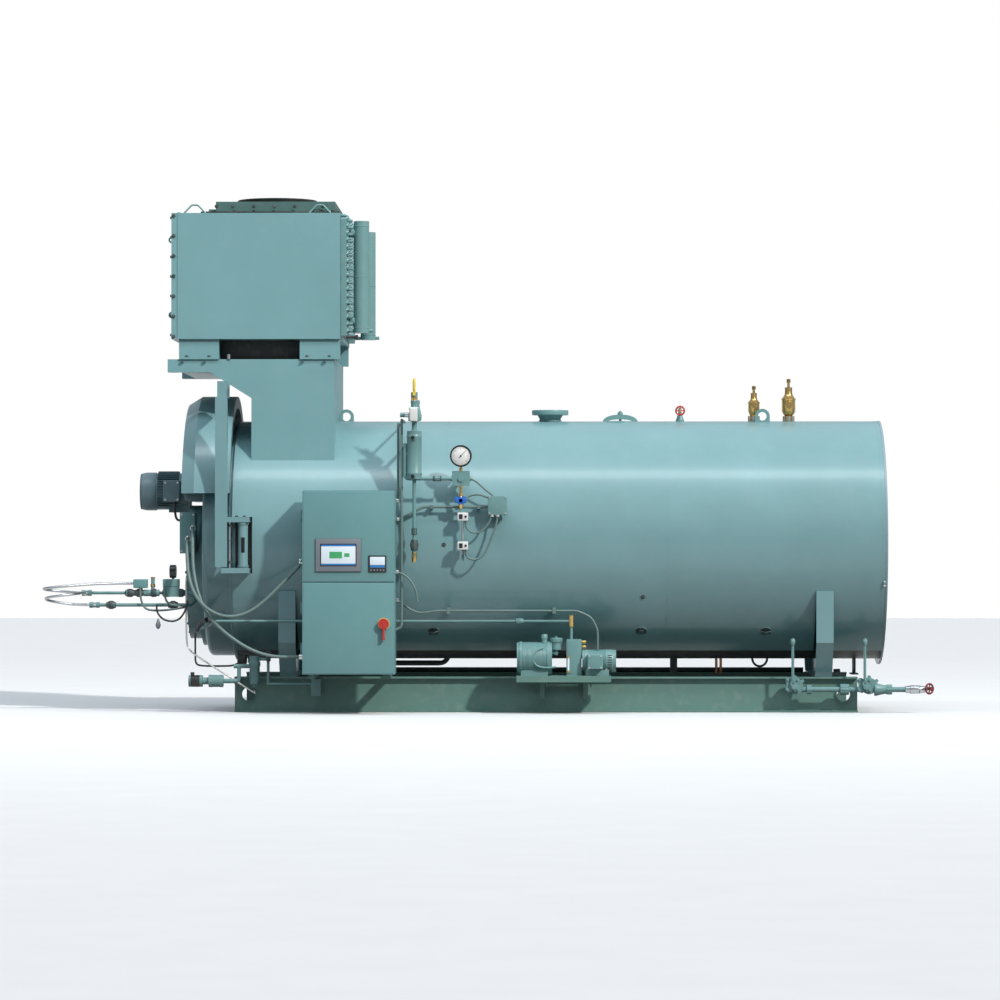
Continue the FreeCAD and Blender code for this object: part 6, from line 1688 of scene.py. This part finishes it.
@dataclass
class Studio:
    """The floor, the lights and the camera."""

    stand: tuple[float, float, float] = (0.131, -46.3, 1.692)
    aim: tuple[float, float, float] = (-0.484, 0.0, 2.197)
    lens: float = 158.4
    sky: float = 0.75
    key: float = 2.6
    softbox: float = 1100.0

    def floor(self) -> None:
        """Lay a wide pale floor under the boiler; it takes shadows and throws no bounce light back."""
        surface = Surface().add(
            np.array([[-60, -60, 0], [60, -60, 0], [60, 60, 0], [-60, 60, 0]], dtype=float) - [0, 0, 0.002],
            np.array([[0, 1, 2, 3]]))
        floor = surface.build("studio_floor", Finish("studio_floor", (0.86, 0.86, 0.86), (0.88, 0.88, 0.88),
                                                     0.6, grain=20, bump=0.01, dust=0.0))
        floor.visible_diffuse = False

    def surround(self) -> None:
        """A white backdrop for the camera, and a dimmer sky that shades from pale above to dark below.

        The light that the pieces receive is a ramp on the height of its direction, z from -1 to 1.
        """
        world = bpy.data.worlds.new("surround")
        bpy.context.scene.world = world
        world.use_nodes = True
        tree = world.node_tree
        tree.nodes.clear()
        place = tree.nodes.new("ShaderNodeTexCoord")
        parts = tree.nodes.new("ShaderNodeSeparateXYZ")
        tree.links.new(place.outputs["Generated"], parts.inputs[0])
        ramp = tree.nodes.new("ShaderNodeValToRGB")
        half = tree.nodes.new("ShaderNodeMath")
        half.operation = "MULTIPLY_ADD"
        half.inputs[1].default_value = 0.5
        half.inputs[2].default_value = 0.5
        tree.links.new(parts.outputs["Z"], half.inputs[0])
        tree.links.new(half.outputs[0], ramp.inputs["Fac"])
        stops = ramp.color_ramp.elements
        stops[0].position, stops[0].color = 0.36, (0.10, 0.12, 0.12, 1)
        stops[1].position, stops[1].color = 0.95, (0.82, 0.90, 1.00, 1)
        middle = stops.new(0.52)
        middle.color = (0.36, 0.40, 0.42, 1)
        lit = tree.nodes.new("ShaderNodeBackground")
        tree.links.new(ramp.outputs["Color"], lit.inputs["Color"])
        lit.inputs["Strength"].default_value = self.sky
        seen = tree.nodes.new("ShaderNodeBackground")
        seen.inputs["Color"].default_value = (1.0, 1.0, 1.0, 1)
        ray = tree.nodes.new("ShaderNodeLightPath")
        mix = tree.nodes.new("ShaderNodeMixShader")
        tree.links.new(ray.outputs["Is Camera Ray"], mix.inputs["Fac"])
        tree.links.new(lit.outputs[0], mix.inputs[1])
        tree.links.new(seen.outputs[0], mix.inputs[2])
        out = tree.nodes.new("ShaderNodeOutputWorld")
        tree.links.new(mix.outputs[0], out.inputs["Surface"])

    def lights(self) -> None:
        """A warm key light from the upper right and a long cool softbox high in front."""
        self.surround()
        bpy.context.scene.view_settings.view_transform = "Standard"
        sun = bpy.data.lights.new("key_sun", "SUN")
        sun.energy = self.key
        sun.angle = math.radians(3)
        sun.color = (1.0, 0.97, 0.92)
        holder = bpy.data.objects.new("key_sun", sun)
        bpy.context.scene.collection.objects.link(holder)
        holder.rotation_euler = Vector((-0.58, 0.62, -0.62)).to_track_quat("-Z", "Y").to_euler()
        strip = bpy.data.lights.new("long_softbox", "AREA")
        strip.shape = "RECTANGLE"
        strip.size, strip.size_y = 22.0, 2.2
        strip.energy = self.softbox
        strip.color = (0.88, 0.95, 1.0)
        hung = bpy.data.objects.new("long_softbox", strip)
        bpy.context.scene.collection.objects.link(hung)
        hung.location = (0, -6.0, 14.5)
        hung.rotation_euler = (Vector((0, 0, 1.75)) - hung.location).to_track_quat("-Z", "Y").to_euler()
        hung.visible_camera = False

    def camera(self) -> None:
        """Stand the camera far back on the control side, level with the shell's axis."""
        data = bpy.data.cameras.new("main_camera")
        data.lens = self.lens
        data.clip_end = 500
        holder = bpy.data.objects.new("main_camera", data)
        bpy.context.scene.collection.objects.link(holder)
        holder.location = self.stand
        holder.rotation_euler = (Vector(self.aim) - Vector(self.stand)).to_track_quat("-Z", "Y").to_euler()
        bpy.context.scene.camera = holder


def main() -> None:
    """Dress the boiler, piece by piece."""
    studio = Studio()
    studio.floor()
    studio.lights()
    studio.camera()
    for run in CORDS:
        run.build()
    for assembly in ASSEMBLIES:
        LOG.info("building %s", type(assembly).__name__)
        assembly.build()


if __name__ == "__main__":
    logging.basicConfig(level=logging.INFO, format="%(message)s")
    main()
